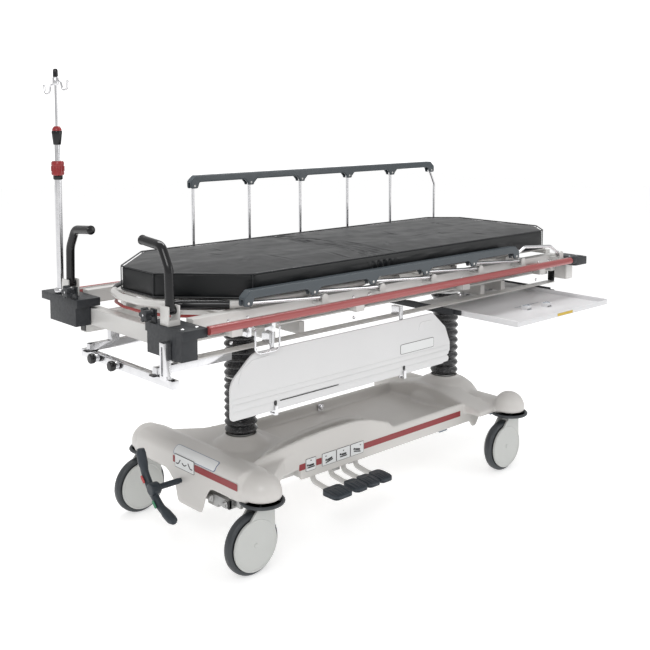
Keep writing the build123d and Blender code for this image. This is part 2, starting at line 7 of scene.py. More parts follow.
import bmesh
import bpy
from mathutils import Matrix, Vector, noise


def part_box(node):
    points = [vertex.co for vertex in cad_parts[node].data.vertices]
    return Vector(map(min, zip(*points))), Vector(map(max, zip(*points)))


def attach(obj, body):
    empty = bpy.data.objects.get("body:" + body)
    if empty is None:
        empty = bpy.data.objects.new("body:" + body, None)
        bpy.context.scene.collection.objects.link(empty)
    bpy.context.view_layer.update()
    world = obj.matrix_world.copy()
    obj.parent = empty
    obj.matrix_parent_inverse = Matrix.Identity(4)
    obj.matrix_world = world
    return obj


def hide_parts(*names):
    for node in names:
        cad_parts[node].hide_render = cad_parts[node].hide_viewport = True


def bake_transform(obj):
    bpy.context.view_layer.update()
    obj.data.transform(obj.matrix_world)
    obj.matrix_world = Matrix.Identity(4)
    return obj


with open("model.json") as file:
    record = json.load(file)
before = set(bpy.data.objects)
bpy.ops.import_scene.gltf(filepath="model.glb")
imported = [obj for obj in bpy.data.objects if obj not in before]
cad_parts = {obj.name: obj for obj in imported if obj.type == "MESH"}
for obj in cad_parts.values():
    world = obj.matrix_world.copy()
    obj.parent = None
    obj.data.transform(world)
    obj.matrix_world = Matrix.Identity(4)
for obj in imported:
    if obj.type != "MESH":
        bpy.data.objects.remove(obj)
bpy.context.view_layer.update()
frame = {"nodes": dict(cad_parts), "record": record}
nodes = frame["nodes"]
record = frame["record"]
body_of = {node: body for body, group in record["behaviour"]["bodies"].items() for node in group}
joints = {joint["name"]: joint for joint in record["behaviour"]["joints"]}

# Trolley coordinates, in millimetres: X from head (-) to foot (+), Y from near (-) to far (+).
tilt_pivot = (655, 0, 735)
home = Vector(joints["tilt"]["pos_m"]) - Vector(tilt_pivot) / 1000


along_x, along_y, along_z = (1, 0, 0), (0, 1, 0), (0, 0, 1)


def at(x, y, z):
    """A point given in trolley millimetres, in the frame's metres."""
    return Vector((x, y, z)) / 1000 + home


# ------------------------------------------------------------------ camera, light and floor

def add_camera():
    data = bpy.data.cameras.new("camera")
    data.lens, data.sensor_width, data.shift_y = 53.27, 36.0, -0.2
    camera = bpy.data.objects.new("camera", data)
    bpy.context.scene.collection.objects.link(camera)
    camera.location = (-2.5242, -2.5307, 1.4687)
    yaw, pitch = math.radians(47.13), math.radians(5.29)
    aim = Vector((math.cos(yaw) * math.cos(pitch), math.sin(yaw) * math.cos(pitch), -math.sin(pitch)))
    camera.rotation_mode = "QUATERNION"
    camera.rotation_quaternion = aim.to_track_quat("-Z", "Y")
    bpy.context.scene.camera = camera


def add_light(name, place, target, size, power):
    data = bpy.data.lights.new(name, "AREA")
    data.shape, data.size, data.size_y, data.energy = "RECTANGLE", size[0], size[1], power
    lamp = bpy.data.objects.new(name, data)
    bpy.context.scene.collection.objects.link(lamp)
    lamp.location = place
    lamp.rotation_euler = (Vector(target) - Vector(place)).to_track_quat("-Z", "Y").to_euler()


def add_studio():
    world = bpy.data.worlds.new("studio")
    world.use_nodes = True
    tree = world.node_tree
    backdrop = tree.nodes["Background"]
    backdrop.inputs["Color"].default_value = (1.0, 1.0, 1.0, 1)
    # white where it is seen directly, dimmer where it lights the object
    path = tree.nodes.new("ShaderNodeLightPath")
    level = tree.nodes.new("ShaderNodeMapRange")
    level.inputs["To Min"].default_value, level.inputs["To Max"].default_value = 0.62, 1.3
    tree.links.new(path.outputs["Is Camera Ray"], level.inputs["Value"])
    tree.links.new(level.outputs["Result"], backdrop.inputs["Strength"])
    bpy.context.scene.world = world
    add_light("key", (-3.2, -2.6, 3.4), (0, 0, 0.5), (2.0, 1.6), 48)
    add_light("fill", (2.6, -3.4, 1.8), (0, 0, 0.6), (2.0, 2.0), 22)
    add_light("top", (0.3, 0.8, 3.6), (0, 0, 0.6), (3.4, 1.0), 70)
    mesh = bpy.data.meshes.new("floor")
    size = 14
    mesh.from_pydata([(-size, -size, 0), (size, -size, 0), (size, size, 0), (-size, size, 0)], [],
                     [(0, 1, 2, 3)])
    floor = bpy.data.objects.new("floor", mesh)
    bpy.context.scene.collection.objects.link(floor)
    floor.data.materials.append(materials["floor"])
    bpy.context.scene.view_settings.view_transform = "Standard"


# ------------------------------------------------------------------ materials

materials = {}


def surface(name, colour, second=None, rough=(0.4, 0.5), metal=0.0, coat=0.0, mottle=6.0,
            grain=400.0, depth=0.0002, stretch=(1, 1, 1), cells=False, sheen=0.0,
            glow=0.0, gloss=None):
    """A material with mottled colour, uneven roughness and a fine bump."""
    made = bpy.data.materials.new(name)
    made.use_nodes = True
    tree = made.node_tree
    shader = tree.nodes["Principled BSDF"]
    shader.inputs["Metallic"].default_value = metal
    shader.inputs["Coat Weight"].default_value = coat
    shader.inputs["Coat Roughness"].default_value = 0.12
    shader.inputs["Sheen Weight"].default_value = sheen

    def node(kind, **values):
        made_node = tree.nodes.new(kind)
        for key, value in values.items():
            made_node.inputs[key].default_value = value
        return made_node

    place = tree.nodes.new("ShaderNodeTexCoord")
    mapping = node("ShaderNodeMapping", Scale=stretch)
    tree.links.new(place.outputs["Object"], mapping.inputs["Vector"])
    clouds = node("ShaderNodeTexNoise", Scale=mottle, Detail=5.0, Roughness=0.6)
    tree.links.new(mapping.outputs["Vector"], clouds.inputs["Vector"])
    blend = tree.nodes.new("ShaderNodeMix")
    blend.data_type = "RGBA"
    second = second or tuple(channel * 0.9 for channel in colour)
    blend.inputs["A"].default_value = (*colour, 1)
    blend.inputs["B"].default_value = (*second, 1)
    tree.links.new(clouds.outputs["Fac"], blend.inputs["Factor"])
    tree.links.new(blend.outputs["Result"], shader.inputs["Base Color"])
    spread = node("ShaderNodeMapRange", **{"From Min": 0.3, "From Max": 0.7})
    spread.inputs["To Min"].default_value, spread.inputs["To Max"].default_value = rough
    smudge = node("ShaderNodeTexNoise", Scale=mottle * 2.3, Detail=6.0)
    tree.links.new(mapping.outputs["Vector"], smudge.inputs["Vector"])
    tree.links.new(smudge.outputs["Fac"], spread.inputs["Value"])
    tree.links.new(spread.outputs["Result"], shader.inputs["Roughness"])
    bump = node("ShaderNodeBump", Distance=depth, Strength=0.6)
    if cells:
        relief = node("ShaderNodeTexVoronoi", Scale=grain)
        tree.links.new(place.outputs["Object"], relief.inputs["Vector"])
        tree.links.new(relief.outputs["Distance"], bump.inputs["Height"])
    else:
        relief = node("ShaderNodeTexNoise", Scale=grain, Detail=3.0)
        tree.links.new(mapping.outputs["Vector"], relief.inputs["Vector"])
        tree.links.new(relief.outputs["Fac"], bump.inputs["Height"])
    tree.links.new(bump.outputs["Normal"], shader.inputs["Normal"])
    if glow:
        shader.inputs["Emission Color"].default_value = (1, 1, 1, 1)
        shader.inputs["Emission Strength"].default_value = glow
    if gloss is not None:
        shader.inputs["Specular IOR Level"].default_value = gloss
    materials[name] = made
    return made


def make_materials():
    surface("floor", (0.8, 0.8, 0.8), (0.78, 0.78, 0.78), (0.7, 0.8), mottle=2, glow=0.5)
    surface("shell", (0.62, 0.6, 0.575), (0.575, 0.56, 0.54), (0.32, 0.42), mottle=5, grain=900,
            depth=0.00012, coat=0.1)
    surface("paint", (0.66, 0.65, 0.63), (0.6, 0.59, 0.575), (0.28, 0.4), mottle=9, grain=260,
            depth=0.00015, coat=0.2)
    surface("chrome", (0.8, 0.8, 0.81), (0.62, 0.62, 0.64), (0.07, 0.2), metal=1, mottle=30,
            grain=900, depth=0.00002)
    surface("zinc", (0.5, 0.5, 0.5), (0.36, 0.36, 0.35), (0.3, 0.5), metal=1, mottle=50,
            grain=700, depth=0.00008)
    surface("bellows", (0.012, 0.012, 0.014), (0.022, 0.022, 0.024), (0.2, 0.34), mottle=20,
            grain=300, depth=0.00004, coat=0.5)
    surface("tyre", (0.03, 0.035, 0.04), (0.045, 0.05, 0.055), (0.35, 0.5), mottle=30,
            grain=500, depth=0.00012)
    surface("cover", (0.55, 0.56, 0.54), (0.5, 0.51, 0.495), (0.34, 0.46), mottle=12,
            grain=800, depth=0.0001)
    surface("pedal", (0.014, 0.022, 0.03), (0.026, 0.034, 0.044), (0.4, 0.55), mottle=25,
            grain=450, depth=0.0003)
    surface("cast", (0.016, 0.018, 0.021), (0.03, 0.032, 0.036), (0.36, 0.52), mottle=40,
            grain=320, depth=0.0003, gloss=0.35)
    surface("slate", (0.034, 0.047, 0.057), (0.05, 0.064, 0.075), (0.28, 0.4), mottle=14,
            grain=500, depth=0.00012, coat=0.25)
    surface("bumper", (0.36, 0.07, 0.068), (0.28, 0.05, 0.05), (0.25, 0.4), mottle=4, grain=120,
            depth=0.00025, stretch=(0.15, 9, 9), coat=0.25)
    surface("lever_red", (0.38, 0.05, 0.045), (0.3, 0.04, 0.036), (0.3, 0.42), mottle=20,
            grain=260, depth=0.0001, coat=0.3)
    surface("stripe", (0.27, 0.03, 0.035), (0.24, 0.026, 0.03), (0.35, 0.45), mottle=10,
            grain=700, depth=0.00004)
    surface("vinyl", (0.0015, 0.0022, 0.003), (0.003, 0.0042, 0.0052), (0.3, 0.4), mottle=7,
            grain=420, depth=0.00008, cells=True, gloss=0.4)
    surface("piping", (0.012, 0.013, 0.015), (0.02, 0.021, 0.023), (0.28, 0.4), mottle=20,
            grain=500, depth=0.0001)
    surface("grip", (0.004, 0.004, 0.005), (0.008, 0.008, 0.009), (0.14, 0.24), mottle=16,
            grain=300, depth=0.00005, coat=0.1, gloss=0.4)
    surface("clutch", (0.32, 0.018, 0.02), (0.24, 0.013, 0.016), (0.25, 0.36), mottle=30,
            grain=400, depth=0.0001, coat=0.3)
    surface("board", (0.68, 0.68, 0.68), (0.63, 0.63, 0.635), (0.36, 0.46), mottle=5,
            grain=800, depth=0.0002)
    surface("tray", (0.7, 0.7, 0.71), (0.65, 0.65, 0.66), (0.34, 0.44), mottle=6, grain=800,
            depth=0.00015)
    surface("label", (0.72, 0.73, 0.73), (0.68, 0.69, 0.69), (0.4, 0.5), mottle=12, grain=300,
            depth=0.00003)
    surface("ink", (0.02, 0.02, 0.022), (0.03, 0.03, 0.03), (0.5, 0.6), mottle=12, grain=300,
            depth=0.00003)
    surface("outline_blue", (0.12, 0.17, 0.3), (0.1, 0.15, 0.27), (0.5, 0.6), mottle=12,
            grain=300, depth=0.00003)
    surface("green", (0.02, 0.22, 0.1), (0.016, 0.18, 0.08), (0.35, 0.45), mottle=30, grain=400,
            depth=0.0001)
    surface("red_insert", (0.45, 0.03, 0.03), (0.36, 0.024, 0.024), (0.35, 0.45), mottle=30,
            grain=400, depth=0.0001)
    surface("yellow", (0.62, 0.42, 0.03), (0.5, 0.33, 0.02), (0.4, 0.5), mottle=30, grain=300,
            depth=0.0001)
    surface("fitting", (0.2, 0.25, 0.3), (0.15, 0.19, 0.23), (0.35, 0.5), mottle=30, grain=400,
            depth=0.0002)


make_materials()
add_camera()
add_studio()


# ------------------------------------------------------------------ making pieces

def finish_piece(piece, body, material=None, replaces=()):
    """Gives a piece its material and body, and hides the CAD nodes it stands for."""
    if material:
        piece.data.materials.clear()
        piece.data.materials.append(materials[material])
    if body:
        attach(piece, body)
    if replaces:
        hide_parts(*replaces)
    return piece


def new_object(name, bm, smooth_angle=35):
    """An object from a bmesh, smooth except across edges sharper than an angle."""
    bmesh.ops.recalc_face_normals(bm, faces=bm.faces)
    limit = math.radians(smooth_angle)
    for face in bm.faces:
        face.smooth = True
    for edge in bm.edges:
        edge.smooth = len(edge.link_faces) == 2 and edge.calc_face_angle(0) < limit
    mesh = bpy.data.meshes.new(name)
    bm.to_mesh(mesh)
    bm.free()
    made = bpy.data.objects.new(name, mesh)
    bpy.context.scene.collection.objects.link(made)
    return made


def applied(piece):
    """Replaces a piece's mesh by the result of its modifiers."""
    graph = bpy.context.evaluated_depsgraph_get()
    graph.update()
    mesh = bpy.data.meshes.new_from_object(piece.evaluated_get(graph))
    piece.modifiers.clear()
    piece.data = mesh
    return piece


def bevelled(piece, width, segments=3, angle=35):
    """Rounds a piece's sharp edges."""
    modifier = piece.modifiers.new("bevel", "BEVEL")
    modifier.width, modifier.segments = width, segments
    modifier.limit_method, modifier.angle_limit = "ANGLE", math.radians(angle)
    modifier.harden_normals = False
    modifier.use_clamp_overlap = True
    applied(piece)
    bm = bmesh.new()
    bm.from_mesh(piece.data)
    for face in bm.faces:
        face.smooth = True
    for edge in bm.edges:
        edge.smooth = len(edge.link_faces) == 2 and edge.calc_face_angle(0) < math.radians(40)
    bm.to_mesh(piece.data)
    bm.free()
    return piece


def copied(node, name=None):
    """A welded copy of a CAD node's mesh, as a new object."""
    bm = bmesh.new()
    bm.from_mesh(nodes[node].data)
    bmesh.ops.remove_doubles(bm, verts=bm.verts, dist=0.00002)
    bmesh.ops.dissolve_limit(bm, angle_limit=math.radians(1.0), verts=bm.verts, edges=bm.edges)
    return new_object(name or f"{node}_skin", bm)


def dress(node, material, bevel=0.0012):
    """Stands a softly bevelled, finished copy in for a CAD node."""
    piece = copied(node)
    if bevel:
        bevelled(piece, bevel)
    return finish_piece(piece, body_of[node], material, [node])


def remeshed(piece, voxel, rounds, keep=1.0):
    """Rounds a whole shape by voxel remeshing and smoothing."""
    modifier = piece.modifiers.new("voxels", "REMESH")
    modifier.mode, modifier.voxel_size, modifier.use_smooth_shade = "VOXEL", voxel, True
    if rounds:
        smooth = piece.modifiers.new("smooth", "SMOOTH")
        smooth.factor, smooth.iterations = 0.5, rounds
    if keep < 1:
        thin = piece.modifiers.new("thin", "DECIMATE")
        thin.ratio = keep
    applied(piece)
    for face in piece.data.polygons:
        face.use_smooth = True
    return piece


def route(points, bends, step=9):
    """Points along straight runs joined by arcs. One bend radius for each inner corner."""
    points = [Vector(point) for point in points]
    if not isinstance(bends, (list, tuple)):
        bends = [bends] * (len(points) - 2)
    path = [points[0]]
    for before, corner, after, bend in zip(points, points[1:], points[2:], bends):
        into, out = (before - corner).normalized(), (after - corner).normalized()
        inside = into.angle(out)
        turn = math.pi - inside
        if turn < 0.01 or bend <= 0:
            path.append(corner)
            continue
        back = bend / math.tan(inside / 2)
        centre = corner + (into + out).normalized() * (bend / math.sin(inside / 2))
        start, end = corner + into * back - centre, corner + out * back - centre
        count = max(2, int(math.degrees(turn) / step) + 1)
        axis = start.cross(end).normalized()
        path += [centre + Matrix.Rotation(turn * i / count, 3, axis) @ start for i in range(count + 1)]
    return path + [points[-1]]


def add_pipe(bm, path, radius, sides=20, flat=1.0):
    """Adds a capped round tube along a path. radius is a number or one value for each point."""
    radii = radius if isinstance(radius, list) else [radius] * len(path)
    heading = (path[1] - path[0]).normalized()
    across = heading.orthogonal().normalized()
    rings = []
    for i, point in enumerate(path):
        ahead = path[min(i + 1, len(path) - 1)] - path[max(i - 1, 0)]
        turn = heading.rotation_difference(ahead.normalized())
        heading, across = ahead.normalized(), (turn @ across).normalized()
        side = heading.cross(across)
        ring = []
        for k in range(sides):
            angle = 2 * math.pi * k / sides
            offset = across * math.cos(angle) + side * math.sin(angle) * flat
            ring.append(bm.verts.new(point + offset * radii[i]))
        rings.append(ring)
    for ring, after in zip(rings, rings[1:]):
        for k in range(sides):
            bm.faces.new((ring[k], ring[(k + 1) % sides], after[(k + 1) % sides], after[k]))
    bm.faces.new(list(reversed(rings[0])))
    bm.faces.new(rings[-1])


def add_lathe(bm, profile, origin, axis, sides=48):
    """Adds a turned shape. profile is (radius, distance along the axis) in millimetres."""
    axis = Vector(axis).normalized()
    across = axis.orthogonal().normalized()
    side = axis.cross(across)
    rings = []
    for radius, along in profile:
        if radius < 0.01:
            rings.append([bm.verts.new(origin + axis * along / 1000)])
            continue
        ring = []
        for k in range(sides):
            angle = 2 * math.pi * k / sides
            offset = (across * math.cos(angle) + side * math.sin(angle)) * radius / 1000
            ring.append(bm.verts.new(origin + axis * along / 1000 + offset))
        rings.append(ring)
    for ring, after in zip(rings, rings[1:]):
        for k in range(sides):
            corners = [ring[k % len(ring)], ring[(k + 1) % len(ring)],
                       after[(k + 1) % len(after)], after[k % len(after)]]
            unique = list(dict.fromkeys(corners))
            if len(unique) > 2:
                bm.faces.new(unique)
    for ring in (rings[0], rings[-1]):
        if len(ring) > 2:
            bm.faces.new(ring)


def add_block(bm, low, high):
    """Adds a box between two corners given in trolley millimetres."""
    low, high = at(*low), at(*high)
    made = bmesh.ops.create_cube(bm, size=1)["verts"]
    centre, size = (low + high) / 2, high - low
    for vert in made:
        vert.co = centre + Vector((vert.co.x * size.x, vert.co.y * size.y, vert.co.z * size.z))
    return made


def add_prism(bm, outline, origin, u, v, depth):
    """Adds a plate: an outline in (u, v) millimetres from an origin, pushed along u x v."""
    u, v = Vector(u), Vector(v)
    push = u.cross(v) * depth / 1000
    bottom = [bm.verts.new(origin + (u * a + v * b) / 1000) for a, b in outline]
    top = [bm.verts.new(vert.co + push) for vert in bottom]
    count = len(outline)
    bm.faces.new(list(reversed(bottom)))
    bm.faces.new(top)
    for i in range(count):
        bm.faces.new((bottom[i], bottom[(i + 1) % count], top[(i + 1) % count], top[i]))


def rounded(low, high, radius, steps=6):
    """The outline of a rounded rectangle between two (u, v) corners."""
    points = []
    corners = [(high[0] - radius, high[1] - radius, 0), (low[0] + radius, high[1] - radius, 90),
               (low[0] + radius, low[1] + radius, 180), (high[0] - radius, low[1] + radius, 270)]
    for cx, cy, start in corners:
        for i in range(steps + 1):
            angle = math.radians(start + 90 * i / steps)
            points.append((cx + radius * math.cos(angle), cy + radius * math.sin(angle)))
    return points


def add_bolt(bm, place, axis, radius=5, height=4):
    """Adds a domed bolt head."""
    add_lathe(bm, [(0, height), (radius * 0.6, height * 0.95), (radius * 0.95, height * 0.55),
                   (radius, 0.3), (radius, -1), (0, -1)], place, axis, 20)


# ------------------------------------------------------------------ base

def add_dome(bm, x, y, radius, low, middle):
    """Adds a round-topped post standing over a caster."""
    profile = [(0, low), (radius, low), (radius, middle)]
    profile += [(radius * math.cos(math.radians(a)), middle + radius * math.sin(math.radians(a)))
                for a in range(10, 90, 10)]
    add_lathe(bm, profile + [(0, middle + radius)], at(x, y, 0), along_z, 40)


def add_section(bm, outline, y_from, y_to):
    """Adds a bar along Y with an (x, z) outline."""
    add_prism(bm, outline, at(0, y_to, 0), along_x, along_z, y_to - y_from)


def make_shroud():
    """The moulded base cover: swelling arms, cones, tub walls and an arched scoop, blended."""
    bm = bmesh.new()
    roll = [(-552, 228), (-690, 228)]
    roll += [(-656 + 34 * math.cos(math.radians(a)), 287 + 34 * math.sin(math.radians(a)))
             for a in range(180, 80, -15)]
    roll += [(-604, 320), (-574, 310), (-552, 288)]
    add_section(bm, roll, -296, 296)
    tip = [(-617 + 66 * math.cos(math.radians(a)), 252 + 66 * math.sin(math.radians(a)))
           for a in range(190, -11, -10)]
    add_section(bm, tip + [(-552, 228), (-682, 228)], -322, 322)
    for x, y in corners.values():
        add_dome(bm, x, y, 62 if x > 0 else 65, 236, 252)
    # head face with its skirt, standing a little proud of the roll
    face = [(y, z) for y, z in ((-290, 258), (-150, 228), (-125, 192), (-104, 136), (-92, 130),
                                (30, 130), (42, 138), (54, 190), (100, 226), (290, 258), (290, 270),
                                (-290, 270))]
    add_prism(bm, face, at(-682, 0, 0), along_y, along_z, -9)
    deck = [(-617, -312), (-556, -312), (-440, -226), (-350, -214), (-300, -214), (-300, 214),
            (-350, 214), (-440, 226), (-556, 312), (-617, 312)]
    add_prism(bm, deck, at(0, 0, 224), along_x, along_y, 62)
    for x, foot_r in ((-445, 128), (655, 150)):
        cone = [(52, 200), (foot_r, 200), (foot_r, 230), (0.97 * foot_r, 252), (0.82 * foot_r, 282),
                (0.62 * foot_r, 304), (60, 318), (56, 331), (52, 331), (52, 200)]
        add_lathe(bm, cone, at(x, 0, 0), along_z, 64)
    # tub: floor, long walls and the foot end
    add_block(bm, (-310, -205, 209), (600, 205, 225))
    for side in (-1, 1):
        wall = [(-352, 184), (574, 184), (590, 156), (610, 158), (638, 198), (652, 250), (640, 270),
                (-352, 270)]
        add_prism(bm, wall, at(0, side * 215 if side > 0 else -197, 0), along_x, along_z, 18)
    foot = [(604, -214), (616, -238), (630, -318), (740, -318), (740, 318), (630, 318), (616, 238),
            (604, 214)]
    add_prism(bm, foot, at(0, 0, 226), along_x, along_y, 26)
    rise = [(-300, 250), (-60, 302), (60, 302), (300, 250), (300, 230), (-300, 230)]
    add_prism(bm, list(reversed(rise)), at(632, 0, 0), along_y, along_z, -106)
    # arched near wall and the ridge round its scoop
    crest = [(-600, 286), (-540, 306), (-430, 322), (-330, 333), (-225, 338), (-130, 339), (-67, 335),
             (0, 322), (60, 303), (104, 280), (124, 262)]
    arch = [(124, 230), *reversed(crest), (-600, 230)]
    add_prism(bm, arch, at(0, -199, 0), along_x, along_z, 15)
    inner = [at(x, y, z) for x, y, z in ((-520, -196, 296), (-400, -150, 306), (-260, -124, 312),
                                         (-120, -118, 316), (-40, -120, 314), (20, -134, 300),
                                         (70, -168, 280), (110, -196, 262))]
    ridge = route(inner, 0.12, 6)
    add_pipe(bm, ridge, 0.013, 16)
    bowl = [(-500, -200), (-380, -150), (-240, -126), (-110, -120), (-30, -124), (20, -140),
            (66, -176), (100, -204), (-500, -204)]
    add_prism(bm, list(reversed(bowl)), at(0, 0, 222), along_x, along_y, 74)
    # foot arms swell towards the column
    swell = [(684 + 56 * math.cos(math.radians(a)), 234 + 40 * math.sin(math.radians(a)))
             for a in range(180, -1, -15)]
    add_section(bm, swell, -318, 318)
    shell = new_object("shroud_shell", bm)
    remeshed(shell, 0.0042, 26)
    scoop = bmesh.new()
    add_prism(scoop, rounded((-72, -182), (18, -142), 12), at(0, 0, 262), along_x, along_y, 80)
    for x in (-445, 655):
        add_lathe(scoop, [(0, 170), (48, 170), (48, 345), (0, 345), (0, 170)], at(x, 0, 0),
                  along_z, 48)
    cutter = new_object("scoop_cutter", scoop)
    cut = shell.modifiers.new("cut", "BOOLEAN")
    cut.operation, cut.object, cut.solver = "DIFFERENCE", cutter, "EXACT"
    applied(shell)
    bpy.data.objects.remove(cutter)
    thin = shell.modifiers.new("thin", "DECIMATE")
    thin.ratio = 0.4
    applied(shell)
    for face in shell.data.polygons:
        face.use_smooth = True
    finish_piece(shell, "base", "shell", ["base_shroud"])


def side_strip(bm, x_limits, z_limits, y, depth=0.7, radius=2):
    """A thin label standing on the near wall of the base."""
    add_prism(bm, rounded((x_limits[0], z_limits[0]), (x_limits[1], z_limits[1]), radius),
              at(0, y, 0), along_x, along_z, depth)


def head_strip(bm, y_limits, z_limits, x, depth=0.7, radius=2):
    """A thin label standing on the head face of the base."""
    add_prism(bm, rounded((-y_limits[1], z_limits[0]), (-y_limits[0], z_limits[1]), radius),
              at(x, 0, 0), (0, -1, 0), along_z, depth)


near_wall, head_wall = -215, -690.5


def make_labels():
    """Red bands and generic pictogram plates, with no lettering."""
    bands = bmesh.new()
    for limits in ((-362, -334), (-283, -258), (-48, 503)):
        side_strip(bands, limits, (222, 244), near_wall - 0.1)
    head_strip(bands, (-296, -66), (266, 289), head_wall - 0.1, radius=4)
    head_strip(bands, (49, 60), (266, 289), head_wall - 0.1)
    finish_piece(new_object("red_bands", bands), "base", "stripe")
    plates = bmesh.new()
    frames = bmesh.new()
    plate_spans = [(-332, -285), (-256, -188), (-186, -119), (-117, -50)]
    for low, high in plate_spans:
        side_strip(plates, (low + 1.5, high - 1.5), (212.5, 254.5), near_wall - 0.9, 0.5)
        side_strip(frames, (low, high), (211, 256), near_wall - 0.2, 0.6, 3)
    head_strip(plates, (-62, 46), (254, 296), head_wall - 0.9, 0.5)
    head_strip(frames, (-64, 48), (252, 298), head_wall - 0.2, 0.6, 3)
    finish_piece(new_object("pictogram_plates", plates), "base", "label")
    finish_piece(new_object("plate_outlines", frames), "base", "ink")
    marks = bmesh.new()
    for index, (low, high) in enumerate(plate_spans):
        middle = (low + high) / 2
        lean = (0, 12, 0, -12)[index]
        # a bed with a resting figure drawn as plain bars, and an arrow head
        for dx, dz, half, thick in ((0, -8, 17, 2.2), (2, -1, 12, 3.4)):
            tilt = math.tan(math.radians(lean))
            outline = [(middle + dx - half, 232 + dz - tilt * half - thick),
                       (middle + dx + half, 232 + dz + tilt * half - thick),
                       (middle + dx + half, 232 + dz + tilt * half + thick),
                       (middle + dx - half, 232 + dz - tilt * half + thick)]
            add_prism(marks, outline, at(0, near_wall - 1.5, 0), along_x, along_z, 0.4)
        drop = math.sin(math.radians(lean)) * 12
        head = [(middle - 15 + 4 * math.cos(a), 233 + 4 * math.sin(a) - drop)
                for a in (2 * math.pi * k / 12 for k in range(12))]
        add_prism(marks, head, at(0, near_wall - 1.5, 0), along_x, along_z, 0.4)
        up = 1 if index == 0 else -1
        arrow_x = middle + (0, -16, 0, 16)[index]
        arrow = [(arrow_x - 4, 246), (arrow_x + 4, 246), (arrow_x, 246 + 5 * up)]
        if up < 0:
            arrow.reverse()
        add_prism(marks, arrow, at(0, near_wall - 1.5, 0), along_x, along_z, 0.4)
    for middle, curve in ((-42, -1), (-8, 0), (27, 1)):
        # a pedal bar tipped one way, level, or the other way
        path = [at(head_wall - 1.6, middle - 12, 275 + 8 * curve),
                at(head_wall - 1.6, middle, 266), at(head_wall - 1.6, middle + 12, 275 - 8 * curve)]
        add_pipe(marks, route(path, 0.012), 0.0016, 8)
    finish_piece(new_object("pictogram_marks", marks), "base", "ink")
    # an empty name plate lying on the rounded top edge
    for name, width, height, lift, material in (("name_plate_rim", 118, 19, 0.5, "outline_blue"),
                                                ("name_plate", 116, 17, 0.9, "label")):
        plate = bmesh.new()
        rows = []
        for i in range(19):
            b = height * (i / 9 - 1)
            inset = 8 - math.sqrt(max(0.0, 64 - max(0.0, abs(b) - height + 8) ** 2))
            turn = math.radians(137) - b / 34.0
            for stand in (lift, -1.5):
                radius = 34 + stand
                x, z = -656 + radius * math.cos(turn), 287 + radius * math.sin(turn)
                rows.append([plate.verts.new(at(x, -57 + side * (width - inset), z))
                             for side in (-1, 1)])
        for i in range(0, len(rows) - 2, 2):
            for j in (0, 1):
                plate.faces.new((rows[i + j][0], rows[i + j][1], rows[i + j + 2][1], rows[i + j + 2][0]))
            for k in (0, 1):
                plate.faces.new((rows[i][k], rows[i + 1][k], rows[i + 3][k], rows[i + 2][k]))
        plate.faces.new((rows[0][0], rows[0][1], rows[1][1], rows[1][0]))
        plate.faces.new((rows[-2][0], rows[-2][1], rows[-1][1], rows[-1][0]))
        finish_piece(new_object(name, plate), "base", material)


def make_linkage():
    """The brake linkage and small catches seen under the base."""
    bm = bmesh.new()
    add_block(bm, (-668, -222, 176), (-656, -60, 206))
    add_block(bm, (-668, -222, 176), (-626, -214, 206))
    add_block(bm, (-660, -150, 160), (-622, -96, 178))
    add_block(bm, (-652, -262, 186), (-640, -222, 214))
    add_pipe(bm, route([at(-640, -250, 196), at(-640, -180, 190), at(-634, -70, 196)], 0.03), 0.006, 16)
    for y, z in ((-206, 191), (-130, 191), (-82, 191)):
        add_lathe(bm, [(0, 11), (6, 10.6), (9, 8), (10, 4), (13, 3), (13, -4), (0, -4)],
                  at(-670, y, z), (-1, 0, 0), 28)
    add_block(bm, (-190, -196, 168), (-150, -150, 190))
    add_block(bm, (-100, -190, 172), (-52, -150, 188))
    made = new_object("brake_linkage", bm)
    bevelled(made, 0.0015)
    finish_piece(made, "base", "zinc")
    tabs = bmesh.new()
    add_block(tabs, (400, -196, 172), (446, -170, 190))
    add_block(tabs, (640, -262, 208), (662, -236, 228))
    add_lathe(tabs, [(0, 9), (5, 8), (6, 4), (6, -4), (0, -4)], at(452, -186, 184), along_z, 20)
    made = new_object("base_tabs", tabs)
    bevelled(made, 0.002)
    finish_piece(made, "base", "fitting")
    catch = bmesh.new()
    add_prism(catch, rounded((96, 236), (128, 262), 5), at(0, 191.4, 0), along_x, along_z, 2.5)
    add_lathe(catch, [(0, 12), (8, 11), (10, 6), (10, 0), (0, 0)], at(112, 190, 249), (0, -1, 0), 24)
    finish_piece(new_object("recess_catch", catch), "base", "chrome")


def make_bellows(name, node, x, z_limits, folds):
    """A rubber concertina sleeve, baked in place and attached to no body."""
    bm = bmesh.new()
    pitch = (z_limits[1] - z_limits[0]) / folds
    profile = [(48.4, z_limits[0])]
    for fold in range(folds):
        base = z_limits[0] + fold * pitch
        for share, radius in ((0.06, 49.2), (0.2, 53), (0.36, 57), (0.46, 58.4), (0.54, 58.4),
                              (0.64, 57), (0.8, 53), (0.94, 49.2)):
            profile.append((radius, base + share * pitch))
        profile.append((48.4, base + pitch))
    profile += [(46, z_limits[1]), (46, z_limits[0])]
    add_lathe(bm, profile, at(x, 0, 0), along_z, 64)
    sleeve = new_object(name, bm, 50)
    finish_piece(sleeve, None, "bellows", [node])
    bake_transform(sleeve)


corners = {"head_near": (-615, -325), "head_far": (-615, 325),
           "foot_near": (680, -325), "foot_far": (680, 325)}


